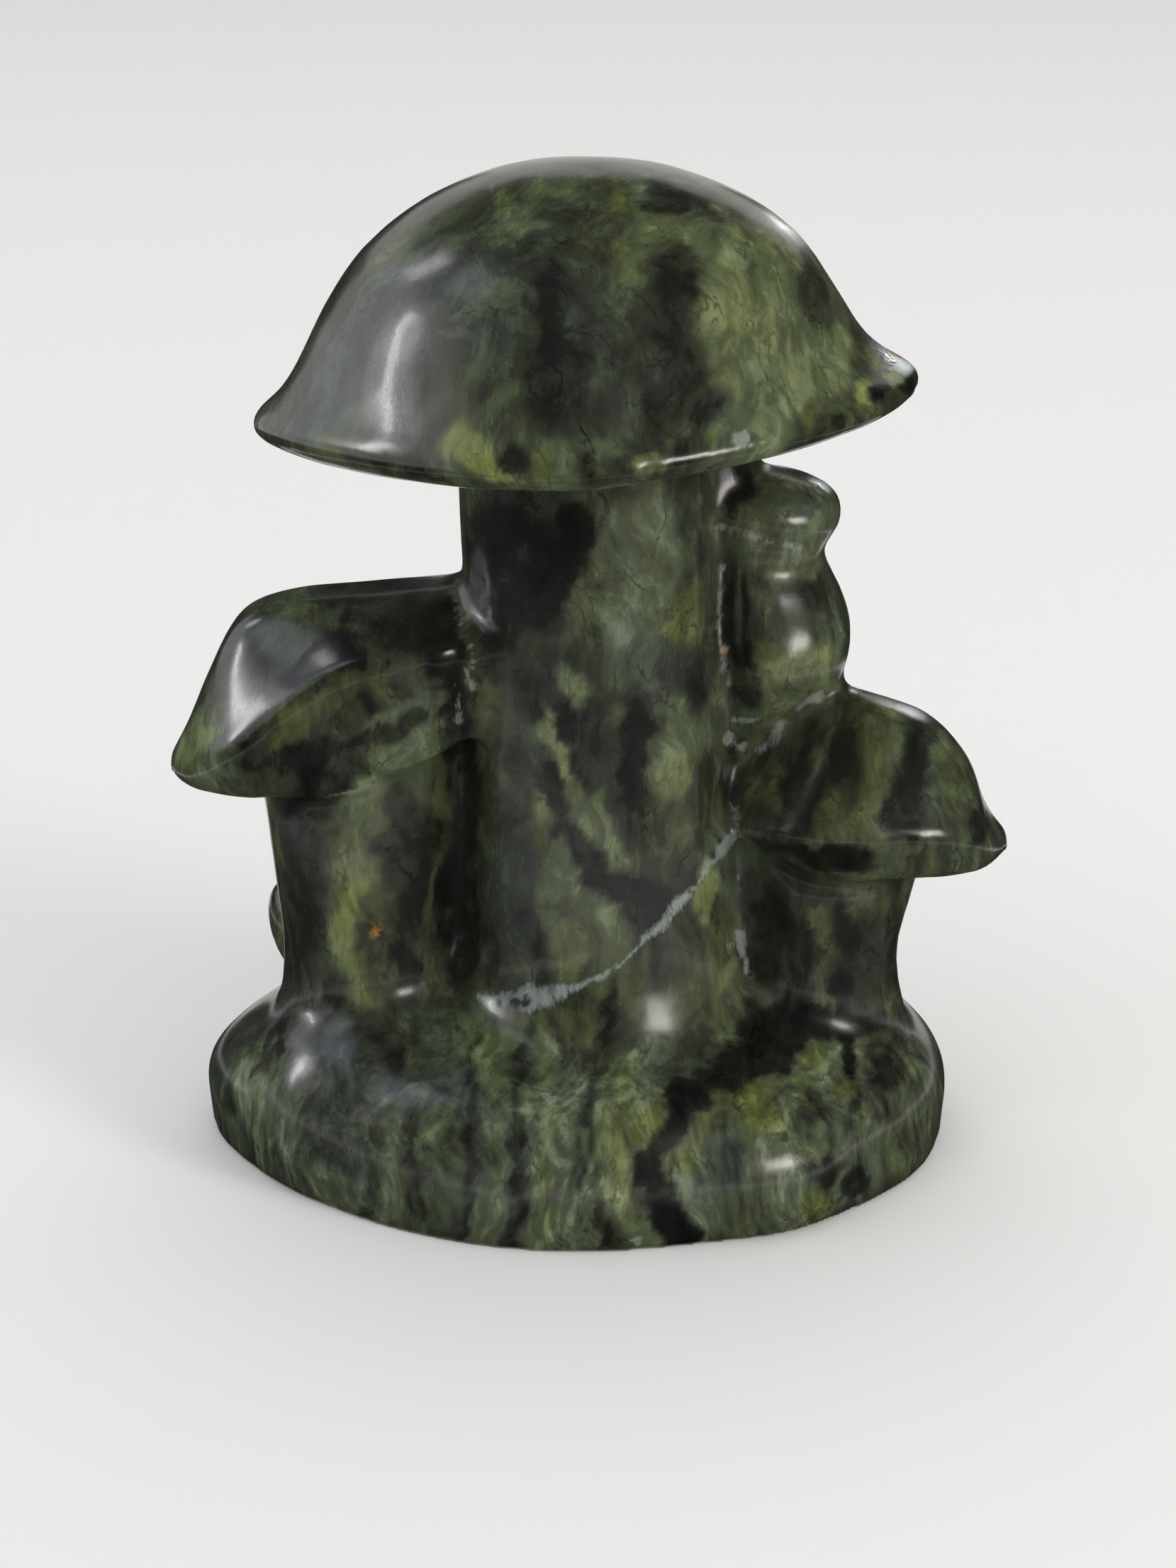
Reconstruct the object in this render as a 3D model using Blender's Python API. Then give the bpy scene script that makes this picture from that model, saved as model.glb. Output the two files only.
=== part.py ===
"""A group of three mushrooms with a climbing snail, carved from one block of green jade.

The carving is one solid. Each form is first blocked out as a closed shape of its own, then all of
them are fused, the joins are rubbed down, the valleys between the forms are cut in, and the
underside is sawn flat.

Axes: +X to the right and +Y away from someone who looks at the side with the open view of the
stems, +Z up. The origin is on the sawn underside, below the tall stem. Sizes are in metres.
"""

import math

import bmesh
import bpy
from mathutils import Matrix, Vector

MM = 0.001

# Base
BASE_WIDTH = 76.0 * MM
BASE_DEPTH = 53.4 * MM
BASE_HEIGHT = 16.5 * MM
BASE_CENTRE = (-1.3 * MM, 1.0 * MM)

# Tall mushroom
HEIGHT = 99.4 * MM
CAP_WIDTH = 63.6 * MM
CAP_DEPTH = 51.0 * MM
CAP_RISE = 22.2 * MM
CAP_LEAN = math.radians(4.1)
CAP_CENTRE = (-0.3 * MM, 1.5 * MM)
STEM_WIDTH = 23.6 * MM
STEM_DEPTH = 22.0 * MM
STEM_FOOT_WIDTH = 30.6 * MM
STEM_INTO_CAP = 0.2

# Left mushroom
LEFT_CAP_TIP = -41.2 * MM
LEFT_CAP_DEPTH = 21.6 * MM
LEFT_CAP_TOP = 58.0 * MM
LEFT_STEM_CENTRE = (-22.8 * MM, -0.6 * MM)
LEFT_STEM_WIDTH = 18.0 * MM
LEFT_STEM_DEPTH = 15.4 * MM

# Right mushroom
RIGHT_CAP_TIP = 42.0 * MM
RIGHT_CAP_DEPTH = 21.0 * MM
RIGHT_CAP_TOP = 48.2 * MM
RIGHT_STEM_CENTRE = (24.0 * MM, -0.4 * MM)
RIGHT_STEM_WIDTH = 16.6 * MM
RIGHT_STEM_DEPTH = 14.8 * MM

# Both small caps: the share of the depth in front of the crown, and how far the rim is drawn in
FRONT_SHARE = 0.47
RIM_FRONT = 0.84
RIM_BACK = 0.86
FACET_STEPS = 6

# Snail
SNAIL_CENTRE = (17.0 * MM, 5.0 * MM)
SNAIL_TOP = 69.0 * MM
SHELL_WIDTH = 17.8 * MM
HEAD_WIDTH = 14.0 * MM

# Leaf
LEAF_HEIGHT = 24.8 * MM
LEAF_WIDTH = 6.4 * MM

# Valleys between the forms
VALLEY_WIDTH = 5.0 * MM
VALLEY_DEPTH = 1.3 * MM

# Fusing and rubbing down
BLOCK_VOXEL = 0.8 * MM
RUB_SHARE = 0.5
STEM_RUBS = 18
CAP_RUBS = 2
VALLEY_RUBS = 4
TRIANGLES = 9400
SAW_SLIP = 0.15 * MM
CREASE_ANGLE = math.radians(65)


def clear_scene():
    """Removes whatever the file holds."""
    for thing in list(bpy.data.objects):
        bpy.data.objects.remove(thing)


def hermite(t, before, start, end, after):
    """A value between start and end that leaves and arrives with its neighbours' slopes."""
    slope_in = (end - before) / 2
    slope_out = (after - start) / 2
    square = t * t
    cube = square * t
    value = (2 * cube - 3 * square + 1) * start
    value += (cube - 2 * square + t) * slope_in
    value += (3 * square - 2 * cube) * end
    value += (cube - square) * slope_out
    return value


def curve_through(rows, steps, closed=False):
    """Points of a smooth curve through rows of numbers, with so many steps between two rows."""
    count = len(rows)
    spans = count if closed else count - 1
    points = []
    for span in range(spans):
        picked = []
        for offset in (-1, 0, 1, 2):
            index = span + offset
            index = index % count if closed else min(max(index, 0), count - 1)
            picked.append(rows[index])
        for step in range(steps):
            t = step / steps
            points.append(tuple(hermite(t, *values) for values in zip(*picked)))
    if not closed:
        points.append(tuple(rows[-1]))
    return points


def closed_object(name, shape):
    """An object that holds the finished bmesh, with its faces turned outwards."""
    bmesh.ops.recalc_face_normals(shape, faces=shape.faces)
    mesh = bpy.data.meshes.new(name)
    shape.to_mesh(mesh)
    shape.free()
    made = bpy.data.objects.new(name, mesh)
    bpy.context.scene.collection.objects.link(made)
    return made


def loft(name, rings):
    """A closed object from rings of points, each joined to the next, with a face over each end."""
    shape = bmesh.new()
    loops = [[shape.verts.new(point) for point in ring] for ring in rings]
    count = len(loops[0])
    for low, high in zip(loops, loops[1:]):
        for i in range(count):
            j = (i + 1) % count
            shape.faces.new((low[i], low[j], high[j], high[i]))
    shape.faces.new(reversed(loops[0]))
    shape.faces.new(loops[-1])
    return closed_object(name, shape)


def oval(centre, half_width, half_depth, left=2.0, right=2.0, points=72):
    """A level ring. Left and right say how square each end is: 2 is an ellipse, less is pointed."""
    ring = []
    for i in range(points):
        angle = 2 * math.pi * i / points
        across = math.cos(angle)
        along = math.sin(angle)
        power = left + (right - left) * (1 + across) / 2
        reach = (abs(across) ** power + abs(along) ** power) ** (-1 / power)
        ring.append(Vector(centre) + Vector((half_width * reach * across, half_depth * reach * along, 0)))
    return ring


def column(name, centre, width, depth, top, stations):
    """A stem. Stations give the share of its top's height, how far its centre drifts in x as a
    share of its width, and its width and depth as shares of the full ones."""
    rings = []
    for height, drift, wide, deep in curve_through(stations, 5):
        middle = (centre[0] + drift * width, centre[1], height * top)
        rings.append(oval(middle, wide * width / 2, deep * depth / 2, left=2.1, right=2.1))
    return loft(name, rings)


def pebble(name, centre, radii, lean=0.0, turn=0.0):
    """An egg shape: lean tips it about Y, turn about Z."""
    shape = bmesh.new()
    place = Matrix.Translation(centre) @ Matrix.Rotation(turn, 4, "Z")
    place = place @ Matrix.Rotation(lean, 4, "Y") @ Matrix.Diagonal((*radii, 1.0))
    bmesh.ops.create_uvsphere(shape, u_segments=32, v_segments=20, radius=1.0, matrix=place)
    return closed_object(name, shape)


def block_out_base():
    """The mound: a wall that bulges over the table, with a shelf on top for the stems' feet.
    Stations give shares of the height, the width and the depth."""
    stations = [
        (-0.45, 0.92, 0.94),
        (-0.10, 0.985, 0.99),
        (0.20, 1.00, 1.00),
        (0.46, 1.00, 0.96),
        (0.68, 0.925, 0.895),
        (0.84, 0.82, 0.80),
        (0.96, 0.70, 0.63),
        (1.08, 0.54, 0.42),
        (1.24, 0.34, 0.26),
    ]
    rings = []
    for height, wide, deep in curve_through(stations, 4):
        centre = (*BASE_CENTRE, height * BASE_HEIGHT)
        rings.append(oval(centre, wide * BASE_WIDTH / 2, deep * BASE_DEPTH / 2, left=1.6, right=2.1))
    return loft("base", rings)


def block_out_bosses():
    """Rounded swellings of the base: two in front and two behind. Each row gives the centre as
    shares of the base's half width, half depth and height, and then the radii the same way."""
    rows = {
        "boss_front_right": ((0.38, -0.48, 0.26), (0.40, 0.47, 0.60)),
        "boss_front_left": ((-0.50, -0.12, 0.26), (0.40, 0.60, 0.92)),
        "boss_rear_right": ((0.54, 0.26, 0.42), (0.36, 0.46, 0.52)),
        "boss_rear_left": ((-0.50, 0.26, 0.34), (0.36, 0.46, 0.46)),
    }
    size = Vector((BASE_WIDTH / 2, BASE_DEPTH / 2, BASE_HEIGHT))
    return [
        pebble(name, Vector((*BASE_CENTRE, 0)) + Vector(centre) * size, Vector(radii) * size)
        for name, (centre, radii) in rows.items()
    ]


def block_out_tall_stem():
    """The thick stem in the middle, with a flared foot, leaning a little as it rises."""
    foot = STEM_FOOT_WIDTH / STEM_WIDTH
    stations = [
        (0.02, 0.07, foot * 1.22, 2.00),
        (0.10, 0.07, foot * 1.17, 1.88),
        (0.15, 0.07, foot * 1.08, 1.68),
        (0.185, 0.07, foot * 1.01, 1.50),
        (0.215, 0.07, foot * 0.96, 1.37),
        (0.25, 0.07, foot * 0.92, 1.25),
        (0.30, 0.07, foot * 0.88, 1.16),
        (0.46, 0.05, 1.10, 1.04),
        (0.62, 0.02, 1.02, 1.00),
        (0.80, -0.02, 1.00, 1.00),
        (1.00, -0.02, 1.00, 1.00),
    ]
    top = HEIGHT - (1 - STEM_INTO_CAP) * CAP_RISE
    return column("tall_stem", (0.0, 0.0), STEM_WIDTH, STEM_DEPTH, top, stations)


def block_out_big_cap():
    """The dome, drawn in to a thin lip that flares to a point at each end. It leans at the rim
    and is upright at the crown. Stations give the share of the rise, how far the middle drifts in
    x as a share of the width, and the width and depth as shares of the full ones."""
    stations = [
        (-0.10, 0.000, 0.50, 0.50),
        (-0.11, 0.000, 0.80, 0.84),
        (-0.09, 0.000, 0.95, 0.96),
        (-0.03, 0.000, 1.00, 1.00),
        (0.03, -0.002, 0.98, 0.985),
        (0.11, -0.005, 0.90, 0.94),
        (0.23, -0.009, 0.83, 0.88),
        (0.43, -0.009, 0.75, 0.79),
        (0.65, -0.004, 0.64, 0.67),
        (0.83, 0.000, 0.475, 0.49),
        (0.95, 0.000, 0.27, 0.28),
        (1.00, 0.000, 0.05, 0.05),
    ]
    base = Matrix.Translation((*CAP_CENTRE, HEIGHT - CAP_RISE))
    rings = []
    for height, drift, wide, deep in curve_through(stations, 4):
        share = max(0.0, 1 - height)
        place = base @ Matrix.Translation((drift * CAP_WIDTH, 0, height * CAP_RISE))
        place = place @ Matrix.Rotation(-CAP_LEAN * share, 4, "Y")
        half_width = wide * CAP_WIDTH / 2
        half_depth = deep * CAP_DEPTH / 2
        ring = oval((0, 0, 0), half_width, half_depth, left=2 - 0.55 * share, right=2 - 0.25 * share)
        rings.append([place @ point for point in ring])
    return loft("big_cap", rings)


def block_out_left_stem():
    """The left stem, waisted above the base and wider again below its cap."""
    stations = [
        (0.05, 0.03, 1.24, 1.44),
        (0.20, 0.03, 1.08, 1.26),
        (0.34, 0.03, 0.94, 1.06),
        (0.48, 0.01, 0.95, 1.00),
        (0.60, 0.0, 1.00, 0.94),
        (0.72, 0.0, 1.06, 0.88),
        (0.86, 0.08, 1.04, 0.80),
    ]
    return column("left_stem", LEFT_STEM_CENTRE, LEFT_STEM_WIDTH, LEFT_STEM_DEPTH, LEFT_CAP_TOP, stations)


def block_out_right_stem():
    """The right stem, short and stout."""
    stations = [
        (0.05, 0.0, 1.34, 1.36),
        (0.22, 0.0, 1.10, 1.18),
        (0.42, -0.03, 0.93, 1.00),
        (0.58, 0.0, 1.06, 0.93),
        (0.76, 0.06, 1.12, 0.86),
    ]
    return column(
        "right_stem", RIGHT_STEM_CENTRE, RIGHT_STEM_WIDTH, RIGHT_STEM_DEPTH, RIGHT_CAP_TOP, stations
    )


def small_cap(name, tip, top, depth, face, stations):
    """A small cap lofted sideways from its tip to the tall stem. Stations give x as a share of the
    tip's, then the rim's, the ridge's and the crown's z as shares of the top's, then the depth as
    a share of the full one. The face gives the front from the ridge up to the crown, as shares of
    the depth in front and of the rise. Below it a flat facet runs from the ridge to the rim."""
    rings = []
    for reach, rim, ridge, crown, deep in curve_through(stations, 4):
        front = FRONT_SHARE * deep * depth
        back = (1 - FRONT_SHARE) * deep * depth
        low = rim * top
        edge = ridge * top
        high = crown * top
        dome = [(-front * out, edge + (high - edge) * rise) for out, rise in face]
        dome += [
            (0.0, high),
            (back * 0.45, high - (high - low) * 0.05),
            (back * 0.85, high - (high - low) * 0.38),
            (back, low + (high - low) * 0.14),
            (back * RIM_BACK, low),
        ]
        section = curve_through(dome, 5)
        for step in range(1, FACET_STEPS):
            t = step / FACET_STEPS
            section.append((back * RIM_BACK * (1 - t) - front * RIM_FRONT * t, low))
        for step in range(FACET_STEPS):
            t = step / FACET_STEPS
            section.append((-front * (RIM_FRONT + (1 - RIM_FRONT) * t), low + (edge - low) * t))
        rings.append([Vector((reach * tip, y, z)) for y, z in section])
    return loft(name, rings)


def block_out_left_cap():
    """The left cap: two broad facets meet in a ridge across its front."""
    face = [(1.0, 0.0), (0.74, 0.34), (0.48, 0.68), (0.26, 0.92)]
    stations = [
        (1.00, 0.685, 0.692, 0.712, 0.15),
        (0.96, 0.676, 0.706, 0.760, 0.40),
        (0.90, 0.676, 0.735, 0.858, 0.68),
        (0.82, 0.680, 0.778, 0.958, 0.88),
        (0.71, 0.682, 0.852, 0.992, 0.97),
        (0.57, 0.694, 0.926, 1.004, 1.00),
        (0.42, 0.735, 0.952, 1.014, 0.98),
        (0.26, 0.788, 0.962, 1.024, 0.88),
        (0.10, 0.815, 0.966, 1.030, 0.76),
    ]
    return small_cap("left_cap", LEFT_CAP_TIP, LEFT_CAP_TOP, LEFT_CAP_DEPTH, face, stations)


def block_out_right_cap():
    """The right cap: a flat sloping front, a beak-like tip and a slope up to the snail."""
    face = [(1.0, 0.0), (0.86, 0.22), (0.66, 0.52), (0.44, 0.80), (0.22, 0.96)]
    stations = [
        (1.00, 0.655, 0.664, 0.680, 0.14),
        (0.96, 0.648, 0.682, 0.715, 0.44),
        (0.93, 0.646, 0.706, 0.768, 0.62),
        (0.90, 0.645, 0.724, 0.836, 0.75),
        (0.81, 0.645, 0.745, 0.922, 0.91),
        (0.69, 0.648, 0.752, 0.965, 0.98),
        (0.59, 0.652, 0.750, 0.985, 1.00),
        (0.53, 0.660, 0.750, 0.945, 0.96),
        (0.48, 0.670, 0.750, 0.890, 0.88),
        (0.43, 0.684, 0.745, 0.840, 0.74),
        (0.37, 0.700, 0.735, 0.780, 0.50),
    ]
    return small_cap("right_cap", RIGHT_CAP_TIP, RIGHT_CAP_TOP, RIGHT_CAP_DEPTH, face, stations)


def block_out_snail():
    """The snail that climbs beside the tall stem. Stations give the share of its top's height, how
    far the middle drifts in x as a share of the width, and the width and depth as shares: of the
    shell's width below the neck, of the head's above it."""
    shell = [
        (0.48, -0.22, 0.30, 0.30),
        (0.58, -0.15, 0.56, 0.56),
        (0.66, -0.05, 0.86, 0.80),
        (0.71, 0.00, 0.94, 0.95),
        (0.75, 0.00, 1.00, 0.98),
        (0.79, 0.00, 0.98, 0.91),
        (0.83, -0.02, 0.90, 0.79),
        (0.875, -0.06, 0.80, 0.73),
    ]
    head = [
        (0.90, -0.06, 1.02, 0.92),
        (0.935, -0.02, 1.14, 0.94),
        (0.965, -0.03, 1.08, 0.88),
        (0.990, -0.08, 0.78, 0.62),
        (1.000, -0.12, 0.40, 0.30),
    ]
    sizes = [(z, x * SHELL_WIDTH, w * SHELL_WIDTH, d * SHELL_WIDTH) for z, x, w, d in shell]
    sizes += [(z, x * HEAD_WIDTH, w * HEAD_WIDTH, d * HEAD_WIDTH) for z, x, w, d in head]
    rings = []
    for height, drift, width, depth in curve_through(sizes, 4):
        middle = (SNAIL_CENTRE[0] + drift, SNAIL_CENTRE[1], height * SNAIL_TOP)
        rings.append(oval(middle, width / 2, depth / 2, left=2.3, right=2.3))
    body = loft("snail", rings)
    bridge = Vector((*SNAIL_CENTRE, 0.87 * SNAIL_TOP)) - Vector((0.30 * SHELL_WIDTH, 0, 0))
    return [
        body,
        pebble("snail_bridge", bridge, (0.30 * SHELL_WIDTH, 0.32 * SHELL_WIDTH, 0.32 * SNAIL_TOP)),
    ]


def block_out_leaf():
    """The leaf that stands on the base and leans against the back of the left stem."""
    half = (LEAF_HEIGHT - 0.75 * BASE_HEIGHT) / 2
    centre = (LEFT_STEM_CENTRE[0] - 0.36 * LEFT_STEM_WIDTH, 0.48 * LEFT_STEM_DEPTH, LEAF_HEIGHT - half)
    return pebble("leaf", centre, (LEAF_WIDTH / 2, 0.9 * LEAF_WIDTH, half), lean=math.radians(-24))


def block_out_webs():
    """The stone left standing behind the valleys between the stems."""
    rows = {
        "left_web": (LEFT_STEM_CENTRE[0], LEFT_CAP_TOP),
        "right_web": (RIGHT_STEM_CENTRE[0], RIGHT_CAP_TOP),
    }
    webs = []
    for name, (x, top) in rows.items():
        centre = (0.60 * x, 0.12 * STEM_DEPTH, 0.56 * top)
        radii = (0.30 * abs(x), 0.22 * STEM_DEPTH, 0.42 * top)
        webs.append(pebble(name, centre, radii))
    return webs


def evaluated_mesh(thing):
    """The object's mesh with its modifiers applied."""
    graph = bpy.context.evaluated_depsgraph_get()
    return bpy.data.meshes.new_from_object(thing.evaluated_get(graph), depsgraph=graph)


def bake(thing):
    """Applies all the object's modifiers to its mesh."""
    bpy.context.view_layer.update()
    result = evaluated_mesh(thing)
    thing.modifiers.clear()
    thing.data = result
    return thing


def rubbed(thing, rubs):
    """The object with its surface rubbed down so many times."""
    rub = thing.modifiers.new("rub_down", "SMOOTH")
    rub.factor = RUB_SHARE
    rub.iterations = rubs
    return bake(thing)


def fused(name, pieces, rubs):
    """One closed object from overlapping pieces, with its joins rubbed down so many times."""
    gathered = bmesh.new()
    for piece in pieces:
        gathered.from_mesh(piece.data)
        bpy.data.objects.remove(piece)
    made = closed_object(name, gathered)
    remesh = made.modifiers.new("fuse", "REMESH")
    remesh.mode = "VOXEL"
    remesh.voxel_size = BLOCK_VOXEL
    return rubbed(made, rubs)


def valley_paths():
    """The lines that the valleys in front follow, as points in x and z."""
    x = SNAIL_CENTRE[0]
    left = x - 0.24 * SHELL_WIDTH
    right = x + SHELL_WIDTH / 2
    neck = SNAIL_TOP - 0.54 * HEAD_WIDTH
    foot = 0.76 * RIGHT_CAP_TOP
    beside_snail = [(left, neck + 0.2 * HEAD_WIDTH), (left + 0.04 * SHELL_WIDTH, foot)]
    below_head = [(left, neck), (right, neck - 0.1 * HEAD_WIDTH)]
    above_right_cap = [(right, 0.99 * RIGHT_CAP_TOP), (x, 0.90 * RIGHT_CAP_TOP), (left, foot)]
    return [(beside_snail, 1.0), (below_head, 0.4), (above_right_cap, 1.0)]


def cut_valley(thing, path, share):
    """Presses a valley into the front of the form along a line seen from there."""
    reach = VALLEY_WIDTH / 2
    pairs = [(Vector(a), Vector(b)) for a, b in zip(path, path[1:])]
    normals = [vertex.normal.copy() for vertex in thing.data.vertices]
    for vertex, normal in zip(thing.data.vertices, normals):
        if vertex.co.y > SNAIL_CENTRE[1] or normal.y > 0:
            continue
        seen = vertex.co.xz
        nearest = reach
        for start, end in pairs:
            along = end - start
            t = min(max((seen - start).dot(along) / along.length_squared, 0.0), 1.0)
            nearest = min(nearest, (seen - start - t * along).length)
        fall = 0.5 + 0.5 * math.cos(math.pi * nearest / reach)
        vertex.co -= normal * (VALLEY_DEPTH * share * fall * -normal.y)


def sawn(thing):
    """The form cut off flat along the underside, and closed there."""
    shape = bmesh.new()
    shape.from_mesh(thing.data)
    whole = [*shape.verts, *shape.edges, *shape.faces]
    bmesh.ops.bisect_plane(shape, geom=whole, plane_co=(0, 0, 0), plane_no=(0, 0, 1), clear_inner=True)
    rim = [edge for edge in shape.edges if edge.is_boundary]
    bmesh.ops.contextual_create(shape, geom=rim)
    shape.to_mesh(thing.data)
    shape.free()
    return thing


def reduced(thing):
    """The same form in about as many triangles as it needs, its underside still flat."""
    count = sum(len(face.vertices) - 2 for face in thing.data.polygons)
    reduce = thing.modifiers.new("reduce", "DECIMATE")
    reduce.ratio = min(1.0, TRIANGLES / count)
    reduce.use_collapse_triangulate = True
    bake(thing)
    for vertex in thing.data.vertices:
        if vertex.co.z < SAW_SLIP:
            vertex.co.z = 0.0
    return thing


def jade():
    """Polished jade: near-black green."""
    material = bpy.data.materials.new("polished_jade")
    material.use_nodes = True
    shader = material.node_tree.nodes["Principled BSDF"]
    shader.inputs["Base Color"].default_value = (0.045, 0.075, 0.035, 1.0)
    shader.inputs["Roughness"].default_value = 0.25
    shader.inputs["Metallic"].default_value = 0.0
    return material


def main():
    """Blocks out, fuses, rubs down, reduces and saws the carving."""
    clear_scene()
    soft_forms = [
        block_out_base(),
        *block_out_bosses(),
        block_out_tall_stem(),
        block_out_left_stem(),
        block_out_right_stem(),
        *block_out_webs(),
    ]
    body = fused("body", soft_forms, STEM_RUBS)
    crisp_forms = [
        body,
        block_out_big_cap(),
        block_out_left_cap(),
        block_out_right_cap(),
        *block_out_snail(),
        block_out_leaf(),
    ]
    carving = fused("mushroom_carving", crisp_forms, CAP_RUBS)
    for path, share in valley_paths():
        cut_valley(carving, path, share)
    carving = reduced(sawn(rubbed(carving, VALLEY_RUBS)))
    carving.data.materials.clear()
    carving.data.materials.append(jade())
    carving.data.shade_smooth()
    carving.data.set_sharp_from_angle(angle=CREASE_ANGLE)


main()
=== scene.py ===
"""Dresses the jade mushroom carving: a finely rubbed copy of the stone, its colours and its studio.

The stone is one piece. Its form is the frame's. Here it gets a fine surface without facets, the
creases and tool marks that the carver left, and the green, black and yellow-green figure of
polished nephrite, with one white vein. A few of its patches are painted shade and painted sheen,
and one pale spot is a painted glint.
"""

import logging
import math
from collections.abc import Iterator
from dataclasses import dataclass
from enum import Enum

import bmesh
import bpy
import numpy as np
from mathutils import Matrix, Vector, noise
from mathutils.bvhtree import BVHTree


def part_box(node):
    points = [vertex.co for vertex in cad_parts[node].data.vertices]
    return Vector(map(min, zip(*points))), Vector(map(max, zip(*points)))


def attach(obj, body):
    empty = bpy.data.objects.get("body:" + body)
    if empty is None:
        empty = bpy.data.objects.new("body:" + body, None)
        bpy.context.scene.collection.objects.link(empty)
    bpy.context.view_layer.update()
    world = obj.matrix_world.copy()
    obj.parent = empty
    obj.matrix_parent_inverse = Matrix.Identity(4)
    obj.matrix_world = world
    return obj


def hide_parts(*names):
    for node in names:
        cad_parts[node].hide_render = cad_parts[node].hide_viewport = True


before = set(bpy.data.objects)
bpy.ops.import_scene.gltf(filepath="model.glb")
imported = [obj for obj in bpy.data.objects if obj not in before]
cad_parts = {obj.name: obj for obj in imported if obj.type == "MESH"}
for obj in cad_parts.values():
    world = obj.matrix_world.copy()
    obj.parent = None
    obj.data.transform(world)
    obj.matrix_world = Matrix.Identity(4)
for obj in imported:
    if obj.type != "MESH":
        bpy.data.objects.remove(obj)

MM = 0.001
LOG = logging.getLogger("carving")
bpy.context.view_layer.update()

Object = bpy.types.Object
Tree = bpy.types.NodeTree
Socket = bpy.types.NodeSocket
Pair = tuple[float, float]
Triple = tuple[float, float, float]


def linear(hex_colour: str) -> tuple[float, float, float, float]:
    """Turns an sRGB hex colour into a linear one.

    Args:
        hex_colour: Six hex digits after a number sign.

    Returns:
        Red, green, blue and an alpha of 1.
    """
    channels = []
    for start in (1, 3, 5):
        value = int(hex_colour[start:start + 2], 16) / 255
        channels.append(value / 12.92 if value <= 0.04045 else ((value + 0.055) / 1.055) ** 2.4)
    return (*channels, 1.0)


def per_metre(feature_mm: float) -> float:
    """Gives the noise scale whose features are so many millimetres across."""
    return 1.0 / (feature_mm * MM)


def smooth(share: np.ndarray) -> np.ndarray:
    """Eases shares of 0 to 1 in and out."""
    return share * share * (3 - 2 * share)


def only(thing: Object) -> None:
    """Selects one object and nothing else, and makes it the active one.

    Args:
        thing: The object.
    """
    bpy.ops.object.select_all(action="DESELECT")
    thing.select_set(True)
    bpy.context.view_layer.objects.active = thing


def feed(tree: Tree, node: bpy.types.Node, inputs: dict) -> None:
    """Gives a node's inputs a socket to link or a plain value.

    Args:
        tree: The node tree.
        node: The node.
        inputs: What the inputs get, by name or number.
    """
    for key, value in inputs.items():
        if isinstance(value, Socket):
            tree.links.new(value, node.inputs[key])
        else:
            node.inputs[key].default_value = value


def add_node(
    tree: Tree, kind: str, inputs: dict | tuple, output: int | str = 0, **settings: object
) -> Socket:
    """Adds a node with its settings and links.

    Args:
        tree: The node tree.
        kind: The node's type name, without the ShaderNode that starts it.
        inputs: What the inputs get, in their order or by name or number.
        output: The wanted output's name or number.
        settings: The node's own properties.

    Returns:
        The wanted output.
    """
    node = tree.nodes.new("ShaderNode" + kind)
    for name, value in settings.items():
        setattr(node, name, value)
    feed(tree, node, inputs if isinstance(inputs, dict) else dict(enumerate(inputs)))
    return node.outputs[output]


class Tone(Enum):
    """A colour in the stone: how pale it is, -1 to 1, and how yellow, -1 for grey to 1."""

    BLACK = (-0.90, 0.0)
    DARK = (-0.55, -0.1)
    GREY = (0.0, -1.0)
    MOSS = (0.12, 0.35)
    OLIVE = (0.28, 0.95)
    GREEN = (0.36, 0.35)
    MINT = (0.46, -0.55)
    PALE = (0.56, 0.30)
    YELLOW = (0.66, 1.0)
    CREAM = (1.00, 0.10)


BLACK, DARK, GREY, MOSS, OLIVE, GREEN, MINT, PALE, YELLOW, CREAM = Tone


@dataclass(frozen=True)
class Patch:
    """A patch in the stone, where the front of the carving cuts it. Sizes are in millimetres.

    The lean is in degrees, clockwise from upright as seen from the front. Some rows are painted shade and
    sheen.
    """

    tone: Tone
    x: float
    z: float
    width: float
    height: float
    strength: float = 1.0
    lean: float = 0.0


@dataclass(frozen=True)
class Line:
    """A line on the front of the carving, through x and z in millimetres, with its width.

    A crease's strength is its depth in millimetres.
    """

    points: tuple[Pair, ...]
    width: float
    strength: float = 1.0


@dataclass(frozen=True)
class Stroke:
    """A streak in the stone, drawn along a line on its front. Sizes are in millimetres."""

    tone: Tone
    points: tuple[Pair, ...]
    width: float
    strength: float = 1.0


def made(kind: type, *rows: tuple) -> tuple:
    """Makes one thing of a kind from each row of values."""
    return tuple(kind(*row) for row in rows)


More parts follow.
